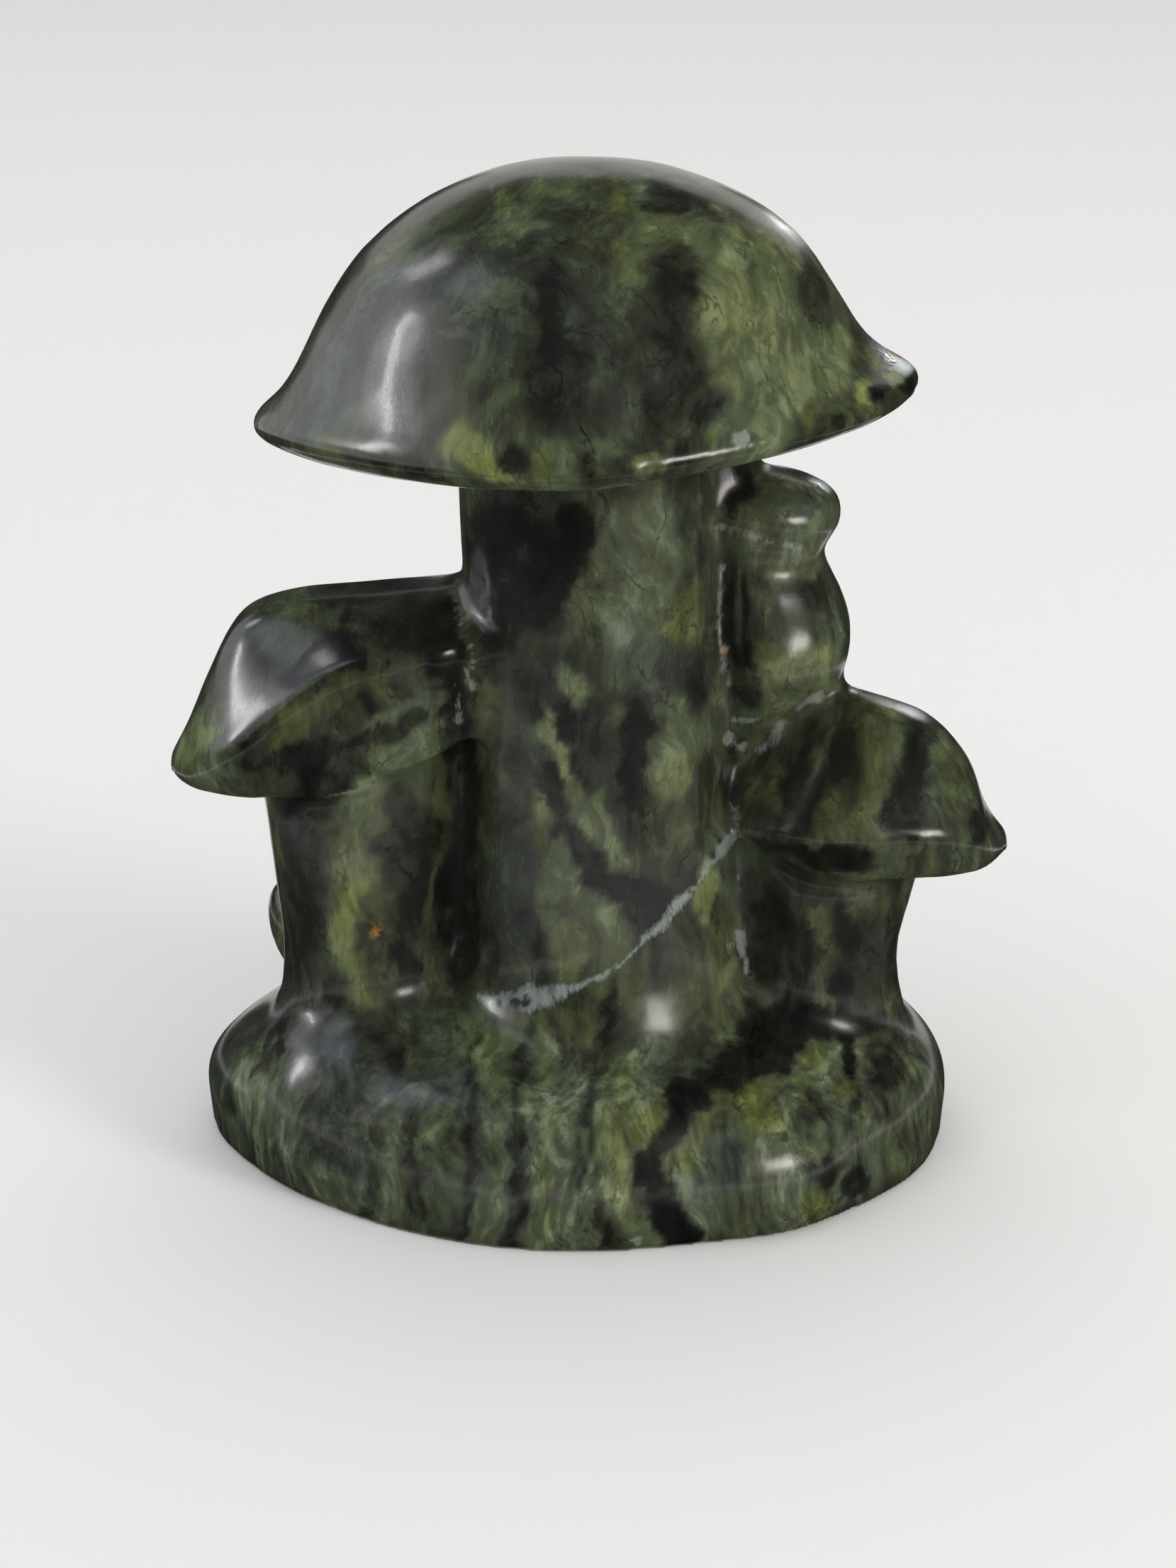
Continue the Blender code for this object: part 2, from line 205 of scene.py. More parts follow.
# A later row is laid over the earlier ones. A row without a lean is upright.
PATCHES = made(
    Patch,
    # The big cap.
    # The broad GREEN row at x 18.5 is partly the stone's paler figure and partly painted sheen on the
    # cap's right.
    (GREEN, 18.5, 87, 20, 17, 0.85, -35), (DARK, -15.5, 88, 2.4, 13, 0.7, 12),
    # The two GREY rows on this line paint streaks of the window's grey sheen on the cap's left flank.
    (GREY, -23, 81.5, 6, 10, 0.8, 20), (GREY, -19, 86.5, 6, 10, 0.7, 15),
    (MOSS, -12.5, 82, 3, 8, 0.5, 10), (GREY, -9, 88, 5, 10, 0.6),
    (MOSS, -8, 91.5, 4.5, 5, 0.4), (OLIVE, -7.3, 97, 2.4, 1.6, 0.8),
    (MINT, -9, 97.4, 1.4, 0.9, 0.8), (DARK, -2.6, 88.5, 5, 13, 0.9, 2),
    (BLACK, -3.8, 85, 4.5, 6, 0.45), (OLIVE, 3.2, 97.3, 5, 1.8, 0.85, 35),
    (MINT, 5.4, 98, 2.6, 1, 0.7, 60), (DARK, 8.5, 97, 6.5, 2.2, 0.9),
    (GREEN, 2.4, 91.5, 3.4, 6.5, 0.75), (GREEN, -1.6, 88.8, 1.2, 3.2, 0.6),
    (MOSS, 3, 86.5, 3, 6, 0.5), (DARK, 7.4, 89.5, 4, 11, 0.9, -4),
    (PALE, 12.2, 91, 4, 7, 0.7), (GREEN, 16.5, 93, 6.5, 4, 0.8, 40),
    (PALE, 14.4, 86.5, 5, 6, 0.6, 10), (DARK, 20.6, 88.6, 2.8, 5.8, 0.85, -30),
    (PALE, 18.4, 84, 6, 4.6, 0.8, -20), (PALE, 22.6, 83.6, 6, 4.4, 0.9, -50),
    (CREAM, 26.2, 82.3, 4.6, 2.2, 0.45, -60), (DARK, 9.6, 82.6, 4.4, 4.4, 0.7, 20),
    # The broad PALE row at x 16.6 is partly the stone's paler figure and partly painted sheen on the
    # cap's right.
    (GREY, 2.4, 87, 13, 13, 0.45), (PALE, 16.6, 85.6, 14, 12, 0.42, -35),
    (CREAM, 18.4, 82.4, 7, 2.6, 0.35, -60), (DARK, -1.8, 81.5, 7, 3.4, 0.6),
    (GREEN, 15, 80.4, 3, 2.2, 0.8), (YELLOW, 25, 80.4, 3.2, 1.5, 1, -55),
    (BLACK, 26.6, 79.8, 1.6, 1.1, 1), (DARK, 22.4, 79.6, 2.2, 1, 0.8, -60),
    (BLACK, 29.8, 79.8, 1.8, 1.4, 0.9, 40), (PALE, 28.2, 80.6, 1.8, 1.8, 0.9),
    (OLIVE, 10.8, 78.9, 3, 1.8, 0.9, 60), (PALE, 15.4, 79.2, 5, 1.8, 0.75, 65),
    (OLIVE, 19.5, 79.2, 3.6, 1.4, 0.8, 65), (YELLOW, 5.4, 78.2, 2.4, 1.9, 0.75),
    (DARK, 8, 77.8, 2.6, 1.6, 0.7), (DARK, 3.2, 77.8, 1.5, 2.4, 0.6),
    (OLIVE, 1, 77.7, 1, 2.6, 0.8, -15), (DARK, -0.4, 77.7, 1.1, 2.6, 0.7),
    (PALE, -1.8, 77.7, 1, 2.2, 0.5), (OLIVE, -4.3, 77.8, 2.2, 2.2, 0.8),
    (DARK, -6.8, 78.2, 2, 2.2, 0.9), (GREEN, -8.4, 81, 2.2, 5, 0.75, 25),
    (YELLOW, -10, 78, 5, 3.6, 1, 40), (YELLOW, -8.6, 76.4, 3.6, 1, 0.8),
    (OLIVE, -23, 75.9, 2.6, 0.9, 0.8), (DARK, -16, 75.4, 8, 0.9, 0.8),
    (MOSS, -27.5, 77.5, 4, 3, 0.6, 60),
    # The tall stem.
    # The DARK and BLACK rows at the top of the tall stem, x -9 to -0.8, are partly the stone's own dark
    # and partly painted shade under the big cap.
    (DARK, -9, 62, 4, 16, 0.9), (BLACK, -6.6, 66.5, 6.4, 6.4, 0.8),
    (BLACK, -2.6, 64, 3.6, 10, 0.85, 12), (DARK, -5.6, 60.2, 5, 5, 0.8),
    (BLACK, -0.8, 68, 3.4, 4, 0.8), (GREY, -6.4, 64.2, 1.6, 3.6, 0.45, 15),
    (GREY, -3.4, 60.6, 1.2, 2.4, 0.4), (MINT, 5, 67.2, 8.8, 7.6, 0.8),
    (MOSS, 6.4, 64.6, 4, 3, 0.5, 20), (MINT, 3.8, 59.2, 5.4, 6, 0.85),
    (GREY, 6.4, 53.4, 7, 8, 0.85), (OLIVE, 9.8, 58.8, 3.4, 7.6, 0.8),
    (MOSS, -5, 56, 3.4, 5, 0.6), (PALE, -1.9, 52.4, 2.8, 4.8, 1, -10),
    (PALE, -3.3, 47.2, 3.4, 6, 0.95, -14), (DARK, -2.7, 48.8, 1.2, 4.6, 1, -28),
    (BLACK, 4.5, 45.4, 2.8, 11.6, 0.8), (MINT, 9.4, 46.6, 5.2, 7, 0.6, -10),
    (GREEN, 8.3, 43.2, 4.2, 4.6, 0.8), (PALE, 9.3, 42, 1.7, 2, 0.9),
    # The GREY row at x -7.2 paints a grey sheen down the tall stem's left. The DARK row at x -12.6 is
    # partly the stone's dark and partly painted shade in the deep valley beside the left stem.
    (GREY, -7.2, 32.4, 4.6, 20, 0.9), (DARK, -12.6, 36, 3.4, 34, 1),
    (OLIVE, -5, 38.8, 1.9, 6.4, 0.7), (PALE, -2.5, 43.4, 1.8, 5.2, 0.9, -21),
    (PALE, 0.6, 38.8, 2.1, 4.6, 1, -14), (PALE, 2, 35.8, 1.9, 3.4, 0.9, -36),
    (DARK, -4, 42.6, 1.5, 6, 1, -24), (DARK, -2.1, 37.9, 1.6, 6, 1, -17),
    (DARK, -0.2, 34.2, 1.7, 4.4, 1, -43), (DARK, 2.7, 32.2, 1.7, 5, 1, -65),
    (GREEN, 7, 36.1, 1.6, 1.6, 0.8), (GREEN, 9.2, 36.6, 1.8, 1.2, 0.8),
    (DARK, 6.4, 30.4, 4.4, 6, 0.8, 20), (GREEN, -2.2, 25.9, 3.4, 5, 0.6, -10),
    (GREEN, 1.1, 29.6, 2.2, 2.4, 0.9), (DARK, -5.2, 24.5, 1.6, 5, 0.7),
    (YELLOW, 11.4, 29.8, 1.9, 6, 0.85, 6), (GREY, 6.8, 23.4, 4, 3.6, 0.7),
    (PALE, 13.6, 21, 2.3, 2.8, 0.9), (YELLOW, 14, 25, 1.3, 4, 0.7),
    (OLIVE, -1.5, 18.7, 4.6, 4, 0.65), (MOSS, 5.6, 20.2, 6, 2.6, 0.8, 60),
    (DARK, 1.9, 19.8, 1.3, 5.4, 0.9, 4),
    # The snail.
    # The BLACK row at x 13.4 paints the shade in the hollow under the big cap beside the stem, and the
    # GREY row at x 21 paints a highlight on the snail's head.
    (PALE, 18.6, 64.6, 10, 9, 0.65), (BLACK, 13.4, 69, 3.4, 5, 1),
    (MOSS, 17.5, 67, 4, 4, 0.5), (GREY, 21, 66.8, 3, 3, 0.8),
    (OLIVE, 23.8, 67.4, 1.2, 3.4, 0.9, -20), (MINT, 15, 62.4, 3.6, 2, 0.6),
    (GREEN, 18.4, 61.2, 3.4, 3, 0.8), (PALE, 22, 60.2, 2.6, 1.6, 0.6),
    (GREEN, 17.2, 58, 2.6, 3.2, 0.8), (DARK, 21.6, 58.2, 3.4, 3, 0.5, -30),
    (DARK, 14.6, 55.8, 1.8, 6.5, 0.9, -5), (DARK, 16.2, 52.4, 1.6, 3.6, 0.8, -20),
    (PALE, 20, 52.4, 6, 4.4, 0.7), (OLIVE, 17.6, 54.2, 2, 3, 0.6),
    (MINT, 24, 53.4, 2, 5, 0.7), (MOSS, 19.4, 48.8, 5, 2.4, 0.6),
    (DARK, 15.6, 49, 2.6, 2.6, 0.7), (GREY, 15, 44.4, 4, 3.6, 0.9),
    (DARK, 14.2, 39.6, 1.2, 6, 0.9),
    # The right cap and stem.
    (DARK, 20.6, 42, 2, 6.5, 0.85, 20), (GREEN, 18.4, 39.2, 2.2, 5, 0.85, -10),
    (GREEN, 22.6, 41, 2, 7, 0.7, 5), (DARK, 24.6, 42.5, 1.6, 8, 0.85, -5),
    (OLIVE, 27, 40.2, 3.4, 8.6, 0.9, 12), (GREEN, 29.4, 43.6, 2.4, 5, 0.8, 25),
    (DARK, 31.4, 41, 2.6, 8, 0.9, 5), (DARK, 28, 46.2, 4, 1.6, 0.7),
    (OLIVE, 23.5, 46.4, 2.4, 1.4, 0.6), (GREY, 33.6, 40.6, 1.3, 4, 0.6, 10),
    (MOSS, 35.6, 41, 2.6, 6, 0.7, -20), (BLACK, 30.6, 37.2, 2.2, 1.4, 1, 60),
    (DARK, 38.6, 36.5, 5, 2.6, 0.85, -40), (BLACK, 22, 34, 12, 2.2, 0.85),
    (GREEN, 33, 33.9, 5, 1.3, 0.6, 80), (BLACK, 18, 25, 3.4, 13, 0.85),
    (DARK, 20.6, 22, 2, 10, 0.7), (GREEN, 22.6, 25.4, 2, 7, 0.8, -18),
    (DARK, 24.8, 27, 2, 6, 0.85, -10), (GREEN, 23, 19, 1.8, 5, 0.75),
    # The GREY row at x 28.4 paints a highlight on the right stem.
    (MOSS, 29, 27, 3, 2.6, 0.6), (GREY, 28.4, 23, 3.6, 5, 0.7),
    (PALE, 24.4, 16.8, 2.6, 3, 0.8, 30), (DARK, 20, 16.6, 3, 2.6, 0.8),
    (OLIVE, 30.6, 15.6, 4, 2.6, 0.6),
    # The left cap and stem.
    # The GREY row at x -31 paints the grey sheen on the left part of the left cap's upper face.
    (GREY, -31, 53.5, 6, 8, 0.6), (OLIVE, -23, 57.4, 6, 2, 0.6, 80),
    (DARK, -17, 57, 8, 5, 0.9), (BLACK, -13.8, 54.6, 3.4, 12, 0.9),
    # The BLACK row at x -22 paints the dark reflection along the left cap's ridge.
    (BLACK, -22, 54.2, 12, 2.2, 0.75, 70), (OLIVE, -22, 50.8, 7, 2.6, 0.7, 70),
    (MOSS, -26, 49, 6, 2.6, 0.7, 60), (MINT, -17, 48.6, 4.6, 4, 0.6, 60),
    (GREEN, -20, 46.4, 7, 1.8, 0.5, 70), (BLACK, -33.2, 46.6, 2.6, 2.2, 1),
    # The BLACK row at x -27 and the DARK row at x -32.5 paint shade on the band of the left cap that
    # faces down, above its rim.
    (DARK, -29, 45.4, 5, 1.6, 0.6, 70), (BLACK, -27, 42.9, 8, 3, 0.85, 80),
    (DARK, -32.5, 43.4, 3, 1.8, 0.8, 70), (GREEN, -19, 43.4, 4.6, 2.6, 0.75, 55),
    (GREEN, -15.6, 44.4, 2, 3, 0.7), (YELLOW, -36.4, 45.3, 1.7, 2.4, 0.95, 10),
    (PALE, -38.4, 44.6, 2.8, 5.4, 0.9, 20), (GREEN, -35.4, 42.2, 5, 1.3, 0.8, -75),
    (MOSS, -36, 49.5, 1.6, 6, 0.6, 20), (DARK, -28, 31, 4.4, 20, 0.8),
    (BLACK, -28, 38.2, 3, 1.4, 0.7), (GREEN, -23.6, 34, 3.2, 9, 0.7),
    (PALE, -20.6, 37.4, 3.6, 4, 0.9, 20), (OLIVE, -21.8, 33, 3, 4, 0.7),
    (GREEN, -20.8, 29.5, 2.6, 6, 0.7), (DARK, -17, 30, 3.4, 16, 0.85),
    (YELLOW, -22.4, 22.6, 1.8, 6, 0.95, -6), (GREEN, -21, 20.4, 2.6, 6, 0.6, 6),
    (OLIVE, -24, 27, 1.6, 5, 0.7, -8), (DARK, -24.8, 19, 1.4, 5, 0.8),
    (GREEN, -24.4, 17.2, 2.2, 3, 0.5), (DARK, -17.4, 22.5, 2.4, 6, 0.9),
    # The base.
    # The GREY row at x -26.5 paints the sheen on the base's left shoulder, and the GREY row at x -13.5
    # paints a highlight beside it.
    (MINT, -2, 7, 80, 17, 0.55), (GREY, -26.5, 12.5, 9, 7, 0.7),
    (GREY, -13.5, 14.4, 5, 3.6, 0.7), (DARK, -19, 14.6, 2.6, 4, 0.8),
    (PALE, -35, 12.6, 1.9, 7, 0.9, 24), (BLACK, -33.4, 13.8, 1.2, 8, 0.9, 28),
    (MOSS, -32, 11, 2, 5, 0.6, 20), (MINT, -37.4, 10, 1.6, 5, 0.7, 8),
    (DARK, -36.6, 6, 3, 4, 0.6), (DARK, -24, 6.5, 7, 4, 0.5),
    (MINT, -31.4, 4.6, 1.6, 1.2, 0.9, 40), (MINT, -29.4, 3.6, 1.8, 0.9, 0.9, 60),
    (GREEN, -24.5, 3.2, 1.3, 3.4, 0.6, -10), (GREEN, -16, 8, 1.6, 6, 0.5, 18),
    (DARK, -13.4, 9.4, 1.6, 6.5, 0.7, 18), (GREEN, -10.6, 2.8, 1.8, 5, 0.7, 5),
    (GREY, -9, 7.6, 2.2, 5, 0.6), (DARK, -6.9, 5, 1.2, 7, 0.8),
    (PALE, -3.3, 11.3, 2.8, 4.8, 0.8, 10), (GREEN, -4.6, 5.6, 1.8, 7, 0.7, 5),
    (MOSS, -3.6, 14.6, 3.4, 4, 0.6), (DARK, -1.2, 6, 2, 7, 0.75),
    (GREEN, 1.4, 11, 1.4, 5, 0.6, 15), (DARK, 3.4, 13, 1.6, 5, 0.8, 25),
    (OLIVE, 6, 12.4, 2.8, 5.4, 0.8, 28), (PALE, 4, 8.4, 2.2, 5.4, 0.6, -4),
    (PALE, 2.9, 5.7, 1.9, 1.4, 0.9), (PALE, 5.4, 2.6, 2.6, 5, 0.7, -30),
    (DARK, 1, 2, 2, 4, 0.6, -10), (BLACK, 8.8, 13.8, 2.4, 4, 0.9, 42),
    (BLACK, 6.4, 7.6, 2.2, 6, 0.9), (DARK, 8.8, 2, 3, 5, 0.95, -36),
    (DARK, 12, 12.4, 3.4, 4.4, 0.7, 50), (DARK, 16, 15.4, 9, 1.7, 0.9, 84),
    (BLACK, 25.5, 15, 12, 1.7, 0.9, 84), (OLIVE, 16.6, 12.8, 7, 3, 0.85, 80),
    (OLIVE, 25.6, 12.5, 2.4, 2.2, 0.85), (DARK, 21.8, 11.8, 2.6, 3, 0.7),
    (DARK, 29.6, 11.6, 4, 5, 0.7), (GREEN, 26.9, 9, 2.6, 1.8, 0.75),
    # The GREY row at x 12.6 paints a highlight on the boss at the base's right front.
    (GREY, 12.6, 8.2, 5, 4, 0.8), (MINT, 17.4, 6.4, 8, 2.6, 0.5, 80),
    (DARK, 23.2, 6.2, 3.6, 3.2, 0.95, 50), (DARK, 26, 3.4, 4, 3, 0.95, 50),
    (OLIVE, 22.2, 2.8, 2.2, 5, 0.9, -35), (MOSS, 16, 3, 6, 3.4, 0.7),
    (MOSS, 30.4, 6.4, 3, 4, 0.6, 20),
)

STROKES = made(
    Stroke,
    (DARK, ((-4.8, 44.7), (-2.8, 40.2), (-1.4, 35.5), (0.9, 33), (4.4, 31.4), (8, 31)), 1.6, 0.9),
    (DARK, ((-3.7, 50.4), (-1.8, 46.9), (-1, 43)), 1, 0.8),
    (PALE, ((-3.2, 45.6), (-1.6, 41.4)), 1.7, 0.8),
    (PALE, ((0.2, 40.4), (1, 37), (2.6, 34.8)), 2, 0.9),
    (PALE, ((-3.8, 28.6), (-2.3, 25.8), (-2.7, 22.8)), 2, 0.9),
    (PALE, ((8, 49.4), (9.6, 46), (9, 42)), 2.6, 0.65),
    (BLACK, ((29, 15.2), (22, 15.8), (16, 15.6), (11.5, 14.6), (8.6, 12.6)), 1.8, 0.8),
    (BLACK, ((8.6, 12.6), (6.8, 9.4), (6.4, 6.6), (7.6, 4), (10.2, 0.4)), 2.2, 0.85),
    (OLIVE, ((22, 13.4), (14, 13.4), (11.4, 12.2), (9.6, 9)), 2.2, 0.8),
    (PALE, ((-5.1, 19), (-3.6, 14.8), (-4.4, 10.5), (-5.1, 0)), 1.6, 0.75),
    (DARK, ((1.4, 17.8), (-0.4, 12.8), (1.1, 7), (0.6, 0)), 0.9, 0.55),
    (MINT, ((-2, 14.8), (-2.5, 10.5), (-0.9, 3.8)), 1.3, 0.7),
    (PALE, ((4.1, 16), (2.8, 11.3), (3.9, 0)), 1.5, 0.7),
    (GREEN, ((-9.6, 16.3), (-8.2, 11.3), (-9.5, 0)), 1.4, 0.7),
    (GREEN, ((-13.3, 12.8), (-14.5, 0)), 1.5, 0.7),
    (DARK, ((-11.2, 15.4), (-10.4, 10.5), (-12.2, 0)), 1, 0.55),
    (DARK, ((-6.2, 17.8), (-6.7, 12.8), (-7.2, 0)), 1, 0.55),
    (DARK, ((-16.4, 12), (-17.4, 0)), 1.1, 0.5),
    (DARK, ((-20.6, 11), (-21.6, 0)), 1.4, 0.5),
    (OLIVE, ((28.4, 47), (26, 42), (23.1, 37)), 3, 0.6),
    (DARK, ((25.4, 47), (23.2, 42), (20.8, 37)), 1.4, 0.6),
    (DARK, ((32.6, 45.4), (31, 42), (29, 38.4)), 2.6, 0.65),
    (GREEN, ((30.2, 47), (28.6, 42), (26.8, 37.4)), 1, 0.5),
    # The first BLACK stroke paints the dark reflection along the left cap's ridge.
    (BLACK, ((-22.4, 55.8), (-26.4, 53.4), (-30, 50.6), (-33.6, 47.2)), 1.5, 0.9),
    (OLIVE, ((-19.9, 52.9), (-25.8, 49.6), (-29.3, 46.6)), 2.2, 0.75),
    (MINT, ((-14.6, 51.5), (-19.9, 49.1), (-23.5, 46)), 1.6, 0.7),
    (DARK, ((-16.2, 48.6), (-22.6, 46.3), (-30, 43.7)), 1.9, 0.75),
    (GREEN, ((-14.9, 47.6), (-19, 43.9)), 1.8, 0.7),
    (PALE, ((-20.8, 40), (-22.6, 35.5), (-22.2, 31)), 3, 0.9),
    (YELLOW, ((-22.6, 30), (-23.6, 26), (-22.3, 19.6)), 2.1, 0.85),
)


@dataclass
class Carving:
    """The one piece of stone: its fine surface, its creases and the places of its figure."""

    node: str = "mushroom_carving"
    name: str = "jade_carving"
    voxel: float = 0.56 * MM
    merge: float = 0.001 * MM
    # Each rub moves a point by a share of the way to the middle of its neighbours.
    rubs: int = 36
    rub_in: float = 0.5
    rub_out: float = -0.53
    saw_slip: float = 0.3 * MM
    rim_rubs: int = 10
    rim_height: float = 0.9 * MM
    wave_size: float = 9.0 * MM
    wave_height: float = 0.10 * MM
    wave_fade: float = 2.0 * MM
    # How far back creases, scuffs with the painted glint and streaks reach, and where a look at the front
    # starts.
    front_end: float = 8.0 * MM
    stroke_end: float = 12.0 * MM
    stroke_fade: float = 6.0 * MM
    looked_from: Pair = (-0.1, -0.01)
    # How deep a patch goes, in its own widths, and the least width counted for it, in millimetres.
    patch_depth: float = 0.75
    patch_least: float = 4.0
    # Where each mark's soft rim ends, in its half widths, or in its widths for spots, scuffs and the
    # painted glint.
    patch_rim: float = 1.35
    patch_fade: float = 0.7
    stroke_rim: float = 1.6
    spot_rim: float = 1.5
    scuff_and_glint_rim: float = 1.3
    hollow_spreads: int = 6
    hollow_spread: float = 0.6
    hollow_full: float = 0.12
    # The streaks that run down the base start at one height and are full at the other.
    strands_from: float = 25.0 * MM
    strands_full: float = 13.0 * MM
    # The stone's figure is bent by noise, each row its size and reach in millimetres.
    warp_seed: int = 23
    warp: tuple[Pair, ...] = ((7.0, 1.2), (2.4, 1.15), (1.1, 0.5))
    slight_warp: float = 0.35
    patches: tuple[Patch, ...] = PATCHES
    strokes: tuple[Stroke, ...] = STROKES
    creases: tuple[Line, ...] = made(
        Line,
        (((13.2, 61.2), (12.8, 56), (13.1, 52.2), (14, 48.4)), 1.5, 0.4),
        (((12.2, 65), (15, 64.6), (20.8, 62.9)), 1.6, 0.35),
        (((22.9, 48), (20.6, 46), (18.6, 43.6), (16, 40.4)), 1.5, 0.45),
        (((14.4, 40), (14.6, 33), (14.9, 26), (15.9, 19)), 1.6, 0.4),
        (((-31, 39.4), (-26.1, 38.9), (-21.1, 40.2), (-15.2, 44.4)), 1.5, 0.45),
        (((-12.4, 60.4), (-12.2, 52), (-12.6, 42)), 1.5, 0.35),
        (((17, 33), (21, 30.8), (28, 30.2)), 1.4, 0.35),
        (((-12, 62.4), (-10.2, 61.2)), 1.2, 0.3),
    )
    scuffs_and_glint: tuple[Line, ...] = made(
        Line,
        (((13.2, 61), (12.9, 58), (12.8, 54.5)), 0.34, 0.9),
        (((12.8, 54.5), (13.1, 52.2), (13.7, 49.6)), 0.3, 0.8),
        (((12.4, 64.6), (15, 64.4), (17.4, 63.6), (20.4, 62.8)), 0.38, 0.7),
        (((22.3, 47.9), (20.4, 46.3)), 0.55, 0.9),
        (((18.8, 44.4), (17.2, 41.4)), 0.6, 0.85),
        (((14.2, 45.4), (16.4, 45.6)), 0.35, 0.6),
        (((13.6, 43.4), (15.4, 42)), 0.6, 0.6),
        (((14.5, 36.8), (14.6, 35)), 0.45, 0.8),
        (((14.9, 24.2), (15.3, 21.8), (16.2, 19.6)), 0.45, 1),
        (((13.8, 23), (15, 23.4)), 0.3, 0.7),
        (((-12.8, 52), (-12.5, 47.8)), 0.45, 0.6),
        (((-11.4, 55.6), (-11, 51.6)), 0.55, 0.5),
        (((-13, 60.8), (-12.2, 57.2)), 0.45, 0.5),
        (((-9.4, 59.4), (-9, 58)), 0.5, 0.5),
        (((-24.6, 40), (-20.4, 41)), 0.35, 0.6),
        (((-3.9, 13.7), (-3.3, 13.6)), 0.4, 0.9),
        (((4.2, 1.3), (4.8, 1.2)), 0.45, 0.8),
        # This last row is no scuff: it paints the lamp's glint on the big cap's lip as a pale spot.
        (((13.3, 79), (13.7, 79)), 0.6, 1),
    )
    vein: tuple[Triple, ...] = (
        (-10.8, 18.7, 0.4), (-8.6, 19.3, 1.5), (-5.8, 20.4, 2), (-3.2, 21.5, 1.5), (-1.2, 22.2, 0.6),
        (1.4, 23.4, 0.4), (3.6, 25, 0.3), (5.6, 26.6, 0.45), (7.2, 28.2, 1.3), (9, 30.2, 1.3),
        (10.4, 31.2, 0.4), (11.6, 32, 0.5), (13, 33.2, 1.7), (14.2, 34, 1.2),
    )
    vein_flecks: tuple[Triple, ...] = (
        (-9, 18.9, 0.6), (-7.4, 19.6, 0.8), (-6.2, 20.2, 0.6), (-3.9, 21.6, 0.5),
        (12.4, 33.3, 0.7), (12.9, 34.4, 0.5),
    )
    ochre_flecks: tuple[Triple, ...] = ((-20.6, 26.1, 0.5), (13.05, 52.9, 0.45))

    def build(self) -> Object:
        """Builds the stone from a copy of the frame's node.

        Returns:
            The finished object, not yet dressed.
        """
        stone = self.copied()
        self.refined(stone)
        self.rubbed(stone)
        self.carved(stone)
        self.settled(stone)
        self.marked(stone)
        only(stone)
        bpy.ops.object.shade_smooth()
        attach(stone, "root")
        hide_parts(self.node)
        return stone

    def copied(self) -> Object:
        """Copies the frame's node and merges its loose triangles into one skin.

        Returns:
            The copy, an object of its own.
        """
        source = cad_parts[self.node]
        stone = bpy.data.objects.new(self.name, source.data.copy())
        bpy.context.scene.collection.objects.link(stone)
        only(stone)
        bpy.ops.object.mode_set(mode="EDIT")
        bpy.ops.mesh.select_all(action="SELECT")
        bpy.ops.mesh.remove_doubles(threshold=self.merge)
        bpy.ops.object.mode_set(mode="OBJECT")
        for name in [attribute.name for attribute in stone.data.color_attributes]:
            stone.data.color_attributes.remove(stone.data.color_attributes[name])
        return stone

    def refined(self, stone: Object) -> None:
        """Lays an even net of small faces over the form.

        Args:
            stone: The stone.
        """
        net = stone.modifiers.new("fine_net", "REMESH")
        net.mode = "VOXEL"
        net.voxel_size = self.voxel
        only(stone)
        bpy.ops.object.modifier_apply(modifier=net.name)

    def rubbed(self, stone: Object) -> None:
        """Rubs the facets away without shrinking the form: each rub in is followed by one out.

        The sawn underside stays flat, and the rim just above it gets some more rubs, inwards only.

        Args:
            stone: The stone.
        """
        places = self.vectors(stone, "co")
        first, second, number = self.edges(stone)
        low = places[:, 2] < self.saw_slip
        above_rim = places[:, 2] > self.rim_height
        whole = (self.rub_in, self.rub_out) * self.rubs
        for index, share in enumerate(whole + (self.rub_in,) * self.rim_rubs):
            total = np.column_stack([self.gathered(column, first, second) for column in places.T])
            step = share * (total / number[:, None] - places)
            step[low, 2] = 0
            if index >= len(whole):
                step[above_rim] = 0
            places += step
        self.place(stone, places)

    def carved(self, stone: Object) -> None:
        """Cuts the creases between the forms and leaves the slight waves of hand grinding.

        Args:
            stone: The stone.
        """
        places = self.vectors(stone, "co")
        normals = self.vectors(stone, "normal")
        facing = np.clip(-normals[:, 1], 0, 1) * (places[:, 1] < self.front_end)
        depth = np.zeros(len(places))
        for line in self.creases:
            away = self.distance(places, line.points) / (line.width * MM)
            depth = np.maximum(depth, smooth(np.clip(1 - away, 0, 1)) * line.strength * MM * facing)
        wave = np.array([noise.noise(Vector(place) / self.wave_size) for place in places])
        depth += wave * self.wave_height * np.clip(places[:, 2] / self.wave_fade, 0, 1)
        self.place(stone, places - normals * depth[:, None])

    def settled(self, stone: Object) -> None:
        """Stands the stone flat on the table, inside the frame's box."""
        low, high = (np.array(corner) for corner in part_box(self.node))
        self.place(stone, np.clip(self.vectors(stone, "co"), low, high))

